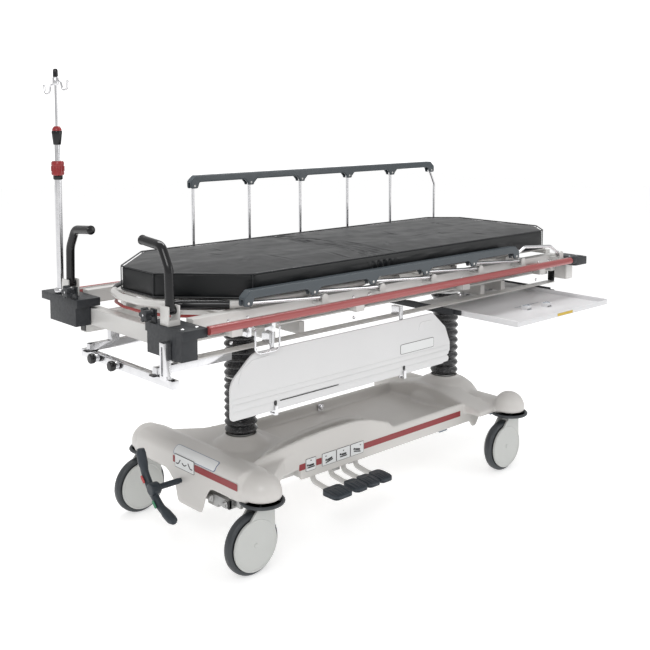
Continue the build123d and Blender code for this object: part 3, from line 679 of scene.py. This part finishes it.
def make_casters():
    for corner, (x, y) in corners.items():
        wheel_x, wheel_z = x - 45, 100
        node = f"wheel_{corner}"
        tyre = bmesh.new()
        profile = [(83, -13), (85, -15.4), (91, -16), (96, -14), (99, -9.5), (100, -4), (100, 4),
                   (99, 9.5), (96, 14), (91, 16), (85, 15.4), (83, 13), (82, 0), (83, -13)]
        add_lathe(tyre, profile, at(wheel_x, y, wheel_z), along_y, 96)
        finish_piece(new_object(f"tyre_{corner}", tyre), node, "tyre", [node])
        hub = bmesh.new()
        add_lathe(hub, [(8, -17), (18, -17), (20, -15), (21, -10), (30, -7), (60, -6), (76, -8),
                        (82.5, -11), (82.5, 11), (76, 8), (60, 6), (30, 7), (21, 10), (20, 15),
                        (18, 17), (8, 17)], at(wheel_x, y, wheel_z), along_y, 72)
        finish_piece(new_object(f"hub_{corner}", hub), node, "cover")
        body = f"caster_{corner}"
        fork_node = f"caster_fork_{corner}"
        fork = copied(fork_node, f"fork_{corner}")
        bevelled(fork, 0.0028, 4)
        finish_piece(fork, body, "cover", [fork_node])
        caps = bmesh.new()
        for side in (-1, 1):
            face = at(wheel_x, y + side * 26, wheel_z)
            add_lathe(caps, [(0, 2.2), (4, 2.1), (7.5, 1.2), (8, -0.5), (0, -0.5)], face,
                      (0, side, 0), 32)
            # a raised rim round the side cover
            rim = [(82.5, -1), (82.5, 0.5), (81.5, 1.3), (79, 1.3), (77.5, 0.4), (77.5, -1), (82.5, -1)]
            add_lathe(caps, rim, face, (0, side, 0), 96)
        finish_piece(new_object(f"fork_trim_{corner}", caps), body, "cover")


def make_bumper_rings():
    bm = bmesh.new()
    for x, y in corners.values():
        circle = [(74 - 6 + 6 * math.cos(a) * 0.98, 226 + 5.6 * math.sin(a))
                  for a in (2 * math.pi * k / 16 for k in range(17))]
        add_lathe(bm, circle, at(x, y, 0), along_z, 96)
        for turn in (45, 135, 225, 315):
            lean = math.radians(turn)
            direction = Vector((math.cos(lean), math.sin(lean), 0))
            centre = at(x, y, 226.5)
            add_pipe(bm, [centre + direction * 0.0245, centre + direction * 0.064], 0.0026, 12)
    finish_piece(new_object("bumper_ring_set", bm), "base", "tyre", ["bumper_rings"])


def make_pad(name, x, width, body):
    """A rubber foot pad with rounded edges and raised ribs, seen as one moulding."""
    bm = bmesh.new()
    add_prism(bm, rounded((x - width / 2, -353), (x + width / 2, -275), 17), at(0, 0, 143.5),
              along_x, along_y, 20)
    for rib in range(5):
        low = x - width / 2 + 12 + rib * (width - 24) / 5
        add_prism(bm, rounded((low + 1.5, -346), (low + (width - 24) / 5 - 1.5, -300), 3, 3),
                  at(0, 0, 162.5), along_x, along_y, 3)
    pad = new_object(name, bm)
    remeshed(pad, 0.0016, 6, 0.5)
    # the top falls away towards the toe
    for vert in pad.data.vertices:
        local = vert.co - home
        toe = max(0.0, (-0.300 - local.y) / 0.053)
        if local.z > 0.150:
            vert.co.z -= 0.007 * toe * toe
    return finish_piece(pad, body, "pedal")


def make_pedals():
    pedals = [("pump_pedal", "pump_pedal", -275, 84),
              ("release_pedal_head_down", "release_pedal_head", -188, 59),
              ("release_pedal_level_down", "release_pedal_level", -126, 59),
              ("release_pedal_foot_down", "release_pedal_foot", -64, 59)]
    for node, body, x, width in pedals:
        pad = make_pad(f"{node}_pad", x, width, body)
        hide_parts(node)
        bm = bmesh.new()
        add_pipe(bm, route([at(x, -180, 196), at(x, -192, 158), at(x, -250, 150), at(x, -300, 152)],
                           [0.018, 0.02]), 0.0085, 20, 1.15)
        add_lathe(bm, [(7.1, -14), (13, -14), (13.4, -13), (13.4, 13), (13, 14), (7.1, 14), (7.1, -14)],
                  at(x, -180, 196), along_x, 32)
        finish_piece(new_object(f"{node}_arm", bm), body, "paint")


def make_brake():
    """The tipping brake bar with ribbed pads and coloured inserts."""
    centre = at(-796, 15, 213)
    lean = math.radians(44)
    along = Vector((0, math.cos(lean), math.sin(lean)))
    across = Vector((0, -math.sin(lean), math.cos(lean)))
    arm = [(-112, 10), (-62, -12), (0, -20), (62, -12), (112, 10)]
    path = [centre + along * a / 1000 + across * b / 1000 for a, b in arm]
    bm = bmesh.new()
    add_pipe(bm, route(path, 0.08), 0.0135, 20, 0.9)
    add_lathe(bm, [(0, -18), (18, -18), (21, -15), (21, 12), (16, 18), (0, 18)], centre, along_x, 36)
    for side in (-1, 1):
        pad = [centre + along * (side * a / 1000) + across * (b / 1000)
               for a, b in ((70, -6), (96, 4), (118, 14), (136, 28))]
        add_pipe(bm, route(pad, 0.05), [0.012, *[0.0165] * (len(route(pad, 0.05)) - 2), 0.012], 24, 1.0)
        for rib in range(7):
            spot = centre + along * (side * (84 + rib * 8) / 1000) + across * ((6 + rib * 2.6) / 1000)
            add_pipe(bm, [spot - Vector((0.013, 0, 0)), spot + Vector((0.013, 0, 0))], 0.0026, 10)
    bar = new_object("brake_bar_moulding", bm)
    remeshed(bar, 0.0018, 5, 0.5)
    finish_piece(bar, "brake_bar", "pedal", ["brake_pedal"])
    for name, side, material in (("brake_insert_far", 1, "red_insert"), ("brake_insert_near", -1, "green")):
        insert = bmesh.new()
        spot = centre + along * side * 0.047 - across * 0.0145
        spot.x = at(-811, 0, 0).x
        outline = rounded((-14, -5.5), (14, 5.5), 5.4)
        edge = [spot + along * a / 1000 + across * b / 1000 for a, b in outline]
        low = [insert.verts.new(point) for point in edge]
        high = [insert.verts.new(point - Vector((0.0022, 0, 0))) for point in edge]
        insert.faces.new(low)
        insert.faces.new(high)
        for i in range(len(low)):
            j = (i + 1) % len(low)
            insert.faces.new((low[i], low[j], high[j], high[i]))
        finish_piece(new_object(name, insert), "brake_bar", material)
    shaft = bmesh.new()
    add_lathe(shaft, [(0, -800), (10.5, -800), (10.5, -700), (9, -699), (9, -600), (0, -600)],
              at(0, 15, 213), along_x, 6)
    finish_piece(new_object("brake_hex_shaft", shaft), "brake_bar", "pedal")


# ------------------------------------------------------------------ litter metalwork

def make_default_metalwork():
    dress("base_frame", "paint", 0.0015)
    dress("cylinders", "zinc", 0.001)
    for node in ("ram_foot", "stage_head", "ram_head"):
        dress(node, "zinc", 0.001)
    dress("litter_frame", "paint", 0.002)
    for node in ("seat_deck", "rail_brackets", "handle_sockets"):
        dress(node, "paint", 0.0015)
    dress("head_brackets", "cast", 0.003)
    casting = bmesh.new()
    boxes = bmesh.new()
    for side in (-1, 1):
        near, far = sorted((side * 292, side * 415))
        plan = rounded((1000, near), (1095, far), 14)
        add_prism(casting, plan, at(0, 0, 803), along_x, along_y, 31.5)
        add_prism(casting, rounded((1012, near + 12), (1083, far - 12), 10), at(0, 0, 834), along_x,
                  along_y, 3)
        add_lathe(casting, [(0, 982), (13.5, 982), (16.5, 986), (17, 1000), (17, 1006), (0, 1006)],
                  at(0, side * 402, 826), along_x, 32)
        near, far = sorted((side * 250, side * 345))
        add_prism(boxes, rounded((1042, near), (1092, far), 6), at(0, 0, 732), along_x, along_y, 71)
    made = new_object("foot_castings", casting)
    bevelled(made, 0.003)
    finish_piece(made, "litter", "cast", ["foot_brackets"])
    made = new_object("foot_boxes", boxes)
    bevelled(made, 0.002)
    finish_piece(made, "litter", "paint")
    dress("board_hanger", "chrome", 0.0006)
    for node in ("tray_runner", "tray_slide"):
        dress(node, "cast", 0.001)
    dress("accessory_frame", "chrome", 0.0015)
    dress("release_lever", "lever_red", 0.001)


def make_tubes():
    """Round bars drawn at full smoothness: bumper rails, bars, handles."""
    bumpers = bmesh.new()
    strips = bmesh.new()
    for side in (-1, 1):
        add_pipe(bumpers, [at(-871 + 1854 * i / 24, side * 402, 826) for i in range(25)], 0.013, 32)
        add_prism(strips, rounded((-870, 829), (982, 838), 1.5),
                  at(0, side * (402 - 10.6), 0),
                  along_x, along_z, side)
    finish_piece(new_object("bumper_rail_pair", bumpers), "litter", "bumper",
                 ["bumper_rails"])
    finish_piece(new_object("bumper_rail_strips", strips), "litter", "paint")
    bar = bmesh.new()
    add_pipe(bar, route([at(-696, -276, 826), at(-735, -276, 826), at(-848, -150, 826), at(-872, -60, 826),
                         at(-872, 60, 826), at(-848, 150, 826), at(-735, 276, 826), at(-696, 276, 826)],
                        [0.03, 0.06, 0.04, 0.04, 0.06, 0.03]), 0.005, 16)
    finish_piece(new_object("release_bar_bend", bar), "release_bar", "lever_red",
                 ["release_bar"])
    for word, side in (("near", -1), ("far", 1)):
        y = side * 296
        grip = bmesh.new()
        path = route([at(-930, y, 878), at(-930, y - side * 4, 1000), at(-930, y - side * 40, 1062),
                      at(-930, y - side * 144, 1070)], [0.06, 0.032], 5)
        add_pipe(grip, path, 0.0142, 32)
        add_lathe(grip, [(14.2, -4), (15.2, -3), (15.2, 0), (13, 2.4), (8, 3.6), (0, 4)], path[-1],
                  path[-1] - path[-2], 32)
        add_lathe(grip, [(5.2, -14), (13.6, -14), (14, -13), (14, 13), (13.6, 14), (5.2, 14), (5.2, -14)],
                  at(-930, y, 878), along_x, 32)
        piece = new_object(f"push_grip_{word}", grip)
        finish_piece(piece, f"handle_{word}", "grip", [f"push_handle_{word}"])


def make_side_rails():
    """Chrome uprights and a rounded moulded top rail on each side."""
    for word, side in (("near", -1), ("far", 1)):
        rail = copied(f"side_rail_{word}", f"top_rail_{word}")
        remeshed(rail, 0.0019, 9, 0.45)
        finish_piece(rail, f"side_rail_{word}", "slate", [f"side_rail_{word}"])
        pins = bmesh.new()
        for number in range(1, 7):
            node = f"spindle_{word}_{number}"
            name = f"rail_{word}_swing" if number == 1 else f"{node}_swing"
            pivot = Vector(joints[name]["pos_m"])
            low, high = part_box(node)
            far_end = Vector((low[0] + 0.009 if side < 0 else pivot.x, pivot.y, high[2] - 0.009))
            if number == 6 and side < 0:
                far_end.z = Vector(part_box("spindle_near_1")[1]).z - 0.009
            along = (far_end - pivot).normalized()
            lean = Vector((along.z, 0, -along.x))
            length = (far_end - pivot).length
            bm = bmesh.new()
            if number == 6:
                path = route([pivot + along * 0.005, pivot + along * 0.07 + lean * 0.034,
                              pivot + along * (length - 0.07) + lean * 0.034,
                              pivot + along * (length - 0.005)], 0.03)
            else:
                path = [pivot + along * (0.005 + (length - 0.01) * i / 6) for i in range(7)]
            add_pipe(bm, path, 0.006, 24)
            for end in (pivot, far_end):
                add_lathe(bm, [(4.56, -6), (8.4, -6), (9, -5.2), (9, 5.2), (8.4, 6), (4.56, 6), (4.56, -6)],
                          end, along_y, 28)
            finish_piece(new_object(f"upright_{word}_{number}", bm), node, "chrome", [node])
            for face in (-1, 1):
                add_lathe(pins, [(0, 1.4), (3.4, 1.2), (4.4, 0.4), (4.5, -1), (0, -1)],
                          far_end + Vector((0, face * 0.0145, 0)), (0, face, 0), 20)
        finish_piece(new_object(f"rail_pins_{word}", pins), f"side_rail_{word}", "paint")


def make_pole():
    """The telescoping drip pole."""
    base = bmesh.new()
    foot = at(-930, 366, 0)
    add_lathe(base, [(9.1, 850), (9.1, 1221), (12, 1221), (12, 836), (20, 836), (22, 839), (22, 848),
                     (20, 851), (12, 851)], foot, along_z, 48)
    finish_piece(new_object("pole_tube", base), "litter", "chrome", ["pole_base"])
    clutch = bmesh.new()
    add_lathe(clutch, [(9.1, 1236), (18, 1236), (21, 1239), (21.4, 1245), (20, 1252), (20, 1266),
                       (21.4, 1273), (21, 1280), (18, 1284), (9.1, 1285), (9.1, 1236)], foot, along_z, 48)
    for k in range(12):
        angle = 2 * math.pi * k / 12
        spot = foot + Vector((math.cos(angle) * 0.0202, math.sin(angle) * 0.0202, 1.2505))
        add_pipe(clutch, [spot, spot + Vector((0, 0, 0.017))], 0.0022, 8)
    finish_piece(new_object("pole_clutch", clutch), "litter", "clutch")
    collar = bmesh.new()
    add_lathe(collar, [(12.1, 1222), (15, 1222), (16, 1225), (16, 1234), (14, 1236), (12.1, 1236),
                       (12.1, 1222)], foot, along_z, 40)
    add_pipe(collar, [foot + Vector((0.012, 0, 0.862)), foot + Vector((0.034, 0, 0.862))], 0.007, 20)
    finish_piece(new_object("pole_collar", collar), "litter", "grip")
    rod = bmesh.new()
    add_lathe(rod, [(4.6, 930), (8.9, 930), (9, 932), (9, 1339), (4.6, 1339), (4.6, 930)], foot,
              along_z, 40)
    finish_piece(new_object("pole_rod", rod), "pole_middle", "chrome", ["pole_middle"])
    grip = bmesh.new()
    add_lathe(grip, [(9.05, 1339), (12, 1339), (13, 1341), (16.4, 1372), (17.6, 1381), (16.5, 1385.6),
                     (4.6, 1386), (4.6, 1340)], foot, along_z, 40)
    finish_piece(new_object("pole_grip", grip), "pole_middle", "grip")
    cap = bmesh.new()
    add_lathe(cap, [(4.6, 1386.2), (15.8, 1386.2), (16, 1389), (13, 1396), (9, 1401), (4.6, 1401),
                    (4.6, 1386.2)], foot, along_z, 40)
    finish_piece(new_object("pole_cone", cap), "pole_middle", "clutch")
    top = bmesh.new()
    add_lathe(top, [(0, 1050), (4.4, 1050), (4.5, 1052), (4.5, 1537), (9, 1538), (10, 1541), (10, 1562),
                    (8, 1565), (0, 1565)], foot, along_z, 36)
    for side in (-1, 1):
        arm = 1552 if side < 0 else 1540
        path = route([at(-930, 366 + side * 4, arm), at(-930, 366 + side * 34, arm),
                      at(-930, 366 + side * 48, arm - 30), at(-930, 366 + side * 76, arm - 30),
                      at(-930, 366 + side * 82, arm - 4)], [0.014, 0.012, 0.012])
        add_pipe(top, path, 0.0034, 16)
        add_lathe(top, [(0, -1), (3.6, -1), (4.4, 1), (4, 4), (0, 5)], path[-1], path[-1] - path[-2], 16)
    finish_piece(new_object("pole_hooks", top), "pole_top", "chrome", ["pole_top"])
    tip = bmesh.new()
    add_lathe(tip, [(0, 1565), (8, 1565), (8.4, 1568), (8, 1586), (6, 1592), (0, 1593)], foot, along_z, 28)
    finish_piece(new_object("pole_tip", tip), "pole_top", "grip")


def make_backrest():
    """The bent tube round the head end, its grips and deck."""
    path = route([at(-60, -200, 861), at(-130, -300, 861), at(-690, -300, 861), at(-855, -150, 861),
                  at(-885, -60, 861), at(-885, 60, 861), at(-855, 150, 861), at(-690, 300, 861),
                  at(-130, 300, 861), at(-60, 200, 861)],
                 [0.06, 0.09, 0.09, 0.05, 0.05, 0.09, 0.09, 0.06], 6)
    tube = bmesh.new()
    add_pipe(tube, path, 0.0118, 28)
    add_lathe(tube, [(6.2, -270), (11, -270), (11, 270), (6.2, 270), (6.2, -270)], at(-60, 0, 861),
              along_y, 32)
    finish_piece(new_object("backrest_tube", tube), "backrest", "paint",
                 ["backrest_frame"])
    deck = bmesh.new()
    outline = [(-130, -290), (-60, -120), (-60, 120), (-130, 290), (-680, 290), (-850, 140),
               (-850, -140), (-680, -290)]
    add_prism(deck, outline, at(0, 0, 862), along_x, along_y, 8)
    for side in (-1, 1):
        add_block(deck, (-708, min(side * 262, side * 270), 820), (-684, max(side * 262, side * 270), 864))
    panel = new_object("backrest_deck", deck)
    bevelled(panel, 0.0012)
    finish_piece(panel, "backrest", "paint")
    grips = bmesh.new()
    for side in (-1, 1):
        ends = [at(-705, side * 286, 861), at(-842, side * 162, 861)]
        length = [ends[0].lerp(ends[1], i / 12) for i in range(13)]
        radii = [0.013 + 0.0035 * min(1, 6 * min(i, 12 - i) / 12) for i in range(13)]
        add_pipe(grips, length, radii, 28)
    finish_piece(new_object("backrest_grips", grips), "backrest", "grip")


# ------------------------------------------------------------------ board and tray

def make_board():
    """The moulded side board: raised lower ribs, corner relief and a blank label."""
    bm = bmesh.new()
    left, right, low, high = -750, 277, 514, 713
    shape = [(left, low), (right - 37, low), (right, low + 45), (right, 590), (right - 27, 652),
             (right - 97, high), (left + 90, high), (left, 634)]
    bends = [14, 14, 10, 14, 26, 20, 60, 60]
    ring = [Vector((x, z, 0)) for x, z in shape]
    ring = [(ring[0] + ring[-1]) / 2] + ring + [(ring[0] + ring[-1]) / 2]
    outline = [(p.x, p.y) for p in route(ring, bends, 8)[:-1]]
    add_prism(bm, outline, at(0, -335.5, 0), along_x, along_z, 8.6)
    plate = new_object("side_board_plate", bm)
    bevelled(plate, 0.002, 3)
    finish_piece(plate, "side_board", "board", ["side_board"])
    relief = bmesh.new()
    face = -344.1
    # lower ledge and ribs, each a shallow long swelling
    for z_low, z_high, stand in ((519, 541, 1.2), (545, 563, 1.6), (567, 581, 1.2)):
        add_prism(relief, rounded((left + 5, z_low), (right - 8, z_high), (z_high - z_low) / 2 - 1, 5),
                  at(0, face + 0.4, 0), along_x, along_z, stand)
    for path in (
        [(left + 30, 628), (left + 44, 668), (left + 84, 690), (left + 150, 694)],
        [(right - 175, 664), (right - 172, 682), (right - 160, 688), (right - 108, 688)],
    ):
        add_pipe(relief, route([at(x, face + 0.6, z) for x, z in path], 0.02), 0.0022, 12)
    ribs = new_object("side_board_relief", relief)
    bevelled(ribs, 0.001, 3, 30)
    finish_piece(ribs, "side_board", "board")
    label = bmesh.new()
    add_prism(label, rounded((4, 588), (184, 624), 7), at(0, face, 0), along_x, along_z, 0.6)
    finish_piece(new_object("side_board_label_rim", label), "side_board", "ink")
    label = bmesh.new()
    add_prism(label, rounded((5.5, 589.5), (182.5, 622.5), 5.5), at(0, face - 0.5, 0), along_x,
              along_z, 0.4)
    finish_piece(new_object("side_board_label", label), "side_board", "label")
    # small dark plates on the ribs and a thin dark line: painted shade for the hook slots and the groove
    # beside them, which are not cut into the board
    slot_shade = bmesh.new()
    for x in (-575, 22):
        add_prism(slot_shade, rounded((x - 6, 530), (x + 6, 546), 5.5), at(0, face - 1.4, 0), along_x,
                  along_z, 0.5)
    add_prism(slot_shade, rounded((-556, 540), (-300, 543), 1.2, 3), at(0, face - 1.4, 0), along_x,
              along_z, 0.4)
    finish_piece(new_object("side_board_hook_slot_shade", slot_shade), "side_board", "ink")


def make_tray():
    plate = dress("tray", "tray", 0.0015)
    plate.name = "tray_plate"
    fittings = bmesh.new()
    for x, y in ((623, -135), (775, -135), (570, -477), (674, -497)):
        add_block(fittings, (x - 14, y - 14, 691), (x + 14, y + 14, 697))
        for step in (-8, 8):
            add_block(fittings, (x + step - 2.5, y - 12, 692), (x + step + 2.5, y + 12, 707))
        add_lathe(fittings, [(0, -15), (6, -15), (7.5, -13), (7.5, -10), (4, -9), (4, 9), (7.5, 10),
                             (7.5, 13), (6, 15), (0, 15)], at(x, y, 701), along_x, 20)
    made = new_object("tray_fittings", fittings)
    bevelled(made, 0.0015)
    finish_piece(made, "tray", "fitting")
    # thin darker strips on the tray top: painted shade for its two grooves, which are not cut into the tray
    groove_shade = bmesh.new()
    for x_from, x_to, y in ((590, 760, -190), (560, 720, -430)):
        add_prism(groove_shade, rounded((x_from, y - 1.5), (x_to, y + 1.5), 1.4, 3), at(0, 0, 690.6),
                  along_x, along_y, 0.7)
    finish_piece(new_object("tray_groove_shade", groove_shade), "tray", "fitting")
    strip = bmesh.new()
    add_prism(strip, rounded((560, 689), (660, 699), 2), at(0, -624.2, 0), along_x, along_z, 0.7)
    finish_piece(new_object("tray_yellow_strip", strip), "tray", "yellow")


# ------------------------------------------------------------------ mattress

fold_x = -60
mattress_low, mattress_high = 875, 955


def mattress_outline(inset=0.0):
    """The mattress seen from above, with its corners rounded, in trolley millimetres."""
    corners_mm = [(-640, -318), (-858, -95), (-858, 95), (-640, 318), (905, 318), (1010, 212),
                  (1010, -212), (905, -318)]
    path = route([Vector((x, y, 0)) for x, y in corners_mm + corners_mm[:2]], 26, 12)
    ring = []
    for point in path[1:]:
        if not ring or (point - ring[-1]).length > 0.5:
            ring.append(point)
    while (ring[0] - ring[-1]).length < 1:
        ring.pop()
    centre = Vector((76, 0, 0))
    return [(centre.x + (p.x - centre.x) * (1 - inset / 900), p.y * (1 - inset / 318)) for p in ring]


def puffed(piece, fixed, reach, pressure=4.0):
    """Swells a closed skin by cloth simulation. fixed(point) says what stays put."""
    count = len(piece.data.vertices)
    rest = [vert.co.copy() for vert in piece.data.vertices]
    pins = piece.vertex_groups.new(name="pins")
    pins.add([i for i in range(count) if fixed(rest[i])], 1.0, "REPLACE")
    cloth = piece.modifiers.new("cloth", "CLOTH")
    settings = cloth.settings
    settings.quality = 4
    settings.mass = 0.3
    settings.use_pressure, settings.uniform_pressure_force = True, pressure
    settings.effector_weights.gravity = 0
    settings.tension_stiffness = settings.compression_stiffness = 18
    settings.bending_stiffness = 0.6
    settings.vertex_group_mass = "pins"
    cloth.point_cache.frame_start, cloth.point_cache.frame_end = 1, 20
    for moment in range(1, 21):
        bpy.context.scene.frame_set(moment)
    graph = bpy.context.evaluated_depsgraph_get()
    swollen = piece.evaluated_get(graph).data
    moved = [vert.co.copy() for vert in swollen.vertices]
    piece.modifiers.clear()
    bpy.context.scene.frame_set(1)
    for vert, start, end in zip(piece.data.vertices, rest, moved):
        step = end - start
        if step.length > reach:
            step *= reach / step.length
        vert.co = start + step
    piece.vertex_groups.clear()
    return piece


def crease_field(seed, count, centre, spread, length, lean):
    """Short crease lines scattered round a place on the mattress top."""
    pick = random.Random(seed)
    lines = []
    for _ in range(count):
        x = pick.gauss(centre[0], spread[0])
        y = pick.uniform(-spread[1], spread[1]) + centre[1]
        heading = math.radians(pick.gauss(90, lean))
        half = pick.uniform(*length) / 2
        lines.append((x, y, math.cos(heading), math.sin(heading), half, pick.uniform(0.5, 1.0),
                      pick.uniform(5, 9)))
    return lines


def crease_depth(lines, x, y):
    """How far the creases push a top point down, in millimetres."""
    depth = 0.0
    for cx, cy, ux, uy, half, strength, width in lines:
        along = (x - cx) * ux + (y - cy) * uy
        if abs(along) > half:
            continue
        off = -(x - cx) * uy + (y - cy) * ux
        if abs(off) > 4 * width:
            continue
        fade = math.cos(along / half * math.pi / 2)
        shape = math.exp(-(off / width) ** 2) - 0.55 * math.exp(-((abs(off) - 1.8 * width) / width) ** 2)
        depth += strength * fade * shape
    return depth


def make_mattress():
    bm = bmesh.new()
    ring = mattress_outline(3)
    add_prism(bm, ring, at(0, 0, mattress_low + 1), along_x, along_y, 76)
    pad = new_object("mattress", bm)
    bevelled(pad, 0.015, 5)
    remeshed(pad, 0.006, 2)

    def fixed(point):
        """The seams along the top and bottom edges, and the underside."""
        x, y, z = (point - home) * 1000
        near_edge = abs(z - mattress_low) < 9 or z < mattress_low + 3
        rim = edge_distance(x, y) < 14 and z > mattress_high - 9
        fold = abs(x - fold_x) < 7 and abs(y) > 250 and z > mattress_high - 12
        return near_edge or rim or fold

    puffed(pad, fixed, 0.010)
    divide = pad.modifiers.new("divide", "SUBSURF")
    divide.levels = divide.render_levels = 1
    applied(pad)
    folds = crease_field(5, 34, (fold_x, 0), (34, 300), (90, 420), 9)
    folds += crease_field(9, 16, (fold_x + 10, -250), (70, 60), (60, 150), 28)
    folds += crease_field(11, 12, (fold_x + 10, 250), (70, 60), (60, 150), 28)
    folds += crease_field(14, 14, (420, 0), (260, 280), (60, 180), 55)
    folds += crease_field(15, 8, (-480, 0), (140, 240), (60, 160), 55)
    for vert in pad.data.vertices:
        x, y, z = (vert.co - home) * 1000
        if z > mattress_low + 55:
            top = min(1.0, (z - mattress_low - 55) / 15)
            roll = noise.noise(Vector((x * 0.004, y * 0.016, 2.0))) * 1.6
            roll += noise.noise(Vector((x * 0.02, y * 0.03, 7.0))) * 0.5
            sink = crease_depth(folds, x, y) * 1.5
            vert.co.z += (roll - sink) * top / 1000
        elif z > mattress_low + 8:
            out = noise.noise(Vector((x * 0.012, z * 0.03, y * 0.012))) * 1.3
            gather = math.exp(-((x - fold_x) / 55) ** 2) * math.sin((x - fold_x) * 0.22 + z * 0.03)
            vert.co.y += math.copysign(1, y) * (out + gather * 2.2) / 1000 if abs(y) > 300 else 0
    for face in pad.data.polygons:
        face.use_smooth = True
    finish_piece(pad, None, "vinyl", ["mattress_seat", "mattress_back"])
    cords = bmesh.new()
    for z in (mattress_low + 3, mattress_high - 2.5):
        loop = [at(x, y, z + 0.5 * noise.noise(Vector((x * 0.01, y * 0.01, z)))) for x, y in
                mattress_outline(0.5)]
        add_loop(cords, loop, 0.0026, 10)
    # joins standing at the corners of the chamfered ends
    for x, y in ((-640, 316), (-858, 95), (905, 316), (1010, 212)):
        for side in (-1, 1):
            nudge = 3 if x < 0 else -2
            add_pipe(cords, [at(x + nudge * 0.3, side * (y - 1), mattress_low + 4 + 72 * i / 8)
                             for i in range(9)], 0.0018, 8)
    seams = new_object("mattress_seams", cords)
    finish_piece(seams, None, "piping")
    for piece in (pad, seams):
        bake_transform(piece)


def edge_distance(x, y):
    """How far inside the mattress outline a top point is, in millimetres."""
    sides = [318 - abs(y), 1010 - x, 858 + x]
    lean = Vector((218, 223)).normalized()
    sides.append((858 + x) * lean.y + (95 - abs(y)) * lean.x)
    lean = Vector((105, 106)).normalized()
    sides.append((1010 - x) * lean.y + (212 - abs(y)) * lean.x)
    return min(sides)


def add_loop(bm, path, radius, sides=12):
    """Adds a closed round cord."""
    rings = []
    count = len(path)
    for i in range(count):
        heading = (path[(i + 1) % count] - path[i - 1]).normalized()
        across = heading.cross(Vector(along_z)).normalized()
        up = across.cross(heading)
        rings.append([bm.verts.new(path[i] + (across * math.cos(a) + up * math.sin(a)) * radius)
                      for a in (2 * math.pi * k / sides for k in range(sides))])
    for i in range(count):
        ring, after = rings[i], rings[(i + 1) % count]
        for k in range(sides):
            bm.faces.new((ring[k], ring[(k + 1) % sides], after[(k + 1) % sides], after[k]))


# ------------------------------------------------------------------ litter details

def make_litter_details():
    bolts = bmesh.new()
    for side in (-1, 1):
        for x in (-742, -668, -212, -138, 363, 437, 863, 937):
            add_bolt(bolts, at(x, side * 325, 823), (0, side, 0), 5.5, 3)
        for x in (-705, -175, 400, 900):
            add_bolt(bolts, at(x, side * 290, 742), (0, side, 0), 6, 3.2)
        for x in (-940, -890, 1022, 1074):
            add_bolt(bolts, at(x, side * 372, 835), along_z, 6.5, 3.5)
    finish_piece(new_object("litter_bolts", bolts), "litter", "chrome")
    caps = bmesh.new()
    for side in (-1, 1):
        for x in (-901, 1041):
            near, far = sorted((side * 254, side * 286))
            add_prism(caps, rounded((near, 716), (far, 768), 4), at(x, 0, 0), along_y, along_z,
                      1.2 if x > 0 else -1.2)
    finish_piece(new_object("beam_end_caps", caps), "litter", "grip")
    spring = bmesh.new()
    start, end = at(-230, -130, 792), at(-560, -130, 812)
    path = [start.lerp(end, i / 8) for i in range(9)]
    add_pipe(spring, path[:6], 0.0105, 24)
    for place in (start, end):
        add_lathe(spring, [(0, -9), (9, -9), (10, -7), (10, 7), (9, 9), (0, 9)], place, along_y, 24)
    finish_piece(new_object("gas_spring", spring), "litter", "grip")
    rod = bmesh.new()
    add_pipe(rod, path[5:], 0.0045, 16)
    for side in (-1, 1):
        add_pipe(rod, [at(-60 + 900 * i / 12, side * 232, 786) for i in range(13)], 0.005, 16)
    finish_piece(new_object("control_rods", rod), "litter", "chrome")
    coil = bmesh.new()
    begin, finish = at(455, -236, 782), at(560, -236, 818)
    axis = (finish - begin).normalized()
    across = axis.orthogonal().normalized()
    lift = axis.cross(across)
    turns, length = 22, (finish - begin).length
    helix = []
    for i in range(turns * 12 + 1):
        angle = 2 * math.pi * i / 12
        helix.append(begin + axis * length * i / (turns * 12)
                     + (across * math.cos(angle) + lift * math.sin(angle)) * 0.0065)
    add_pipe(coil, helix, 0.0013, 6)
    finish_piece(new_object("return_spring", coil), "litter", "zinc")


def make_casting_details():
    """Lobed knobs, bolts and sockets of the corner castings."""
    knobs = bmesh.new()
    screws = bmesh.new()
    for side in (-1, 1):
        centre = at(-962, side * 236, 862)
        outline = []
        for k in range(60):
            angle = 2 * math.pi * k / 60
            radius = 17.5 + 4.2 * math.cos(5 * angle)
            outline.append((radius * math.cos(angle), radius * math.sin(angle)))
        add_prism(knobs, outline, centre + Vector((-0.006, 0, 0)), along_y, along_z, -16)
        add_lathe(knobs, [(0, -20), (9, -20), (11, -17), (11, 10), (0, 10)], centre, along_x, 28)
        add_bolt(screws, centre + Vector((-0.0205, 0, 0)), (-1, 0, 0), 5, 3)
    made = new_object("lobed_knobs", knobs)
    bevelled(made, 0.002, 4)
    finish_piece(made, "litter", "cast")
    finish_piece(new_object("knob_screws", screws), "litter", "chrome")


def make_accessory_details():
    knobs = bmesh.new()
    for y in (-60, 60):
        add_lathe(knobs, [(0, -14), (13, -14), (16, -11), (16.5, -3), (15, 3), (9, 6), (8, 14), (0, 14)],
                  at(-984, y, 676), along_x, 32)
    for y in (-274, 111):
        add_prism(knobs, rounded((-985, y - 14), (-940, y + 14), 5), at(0, 0, 687), along_x, along_y, 4)
    made = new_object("accessory_knobs", knobs)
    bevelled(made, 0.0012, 3)
    finish_piece(made, "litter", "grip")


make_shroud()
make_labels()
make_linkage()
make_bellows("bellows_sleeve_foot", "bellows_foot", 655, (330, 684), 11)
make_bellows("bellows_sleeve_head_lower", "bellows_head_lower", -445, (330, 530), 8)
make_bellows("bellows_sleeve_head_upper", "bellows_head_upper", -445, (530, 684), 6)
make_casters()
make_bumper_rings()
make_pedals()
make_brake()
make_default_metalwork()
make_tubes()
make_side_rails()
make_pole()
make_backrest()
make_board()
make_tray()
make_mattress()
make_litter_details()
make_casting_details()
make_accessory_details()
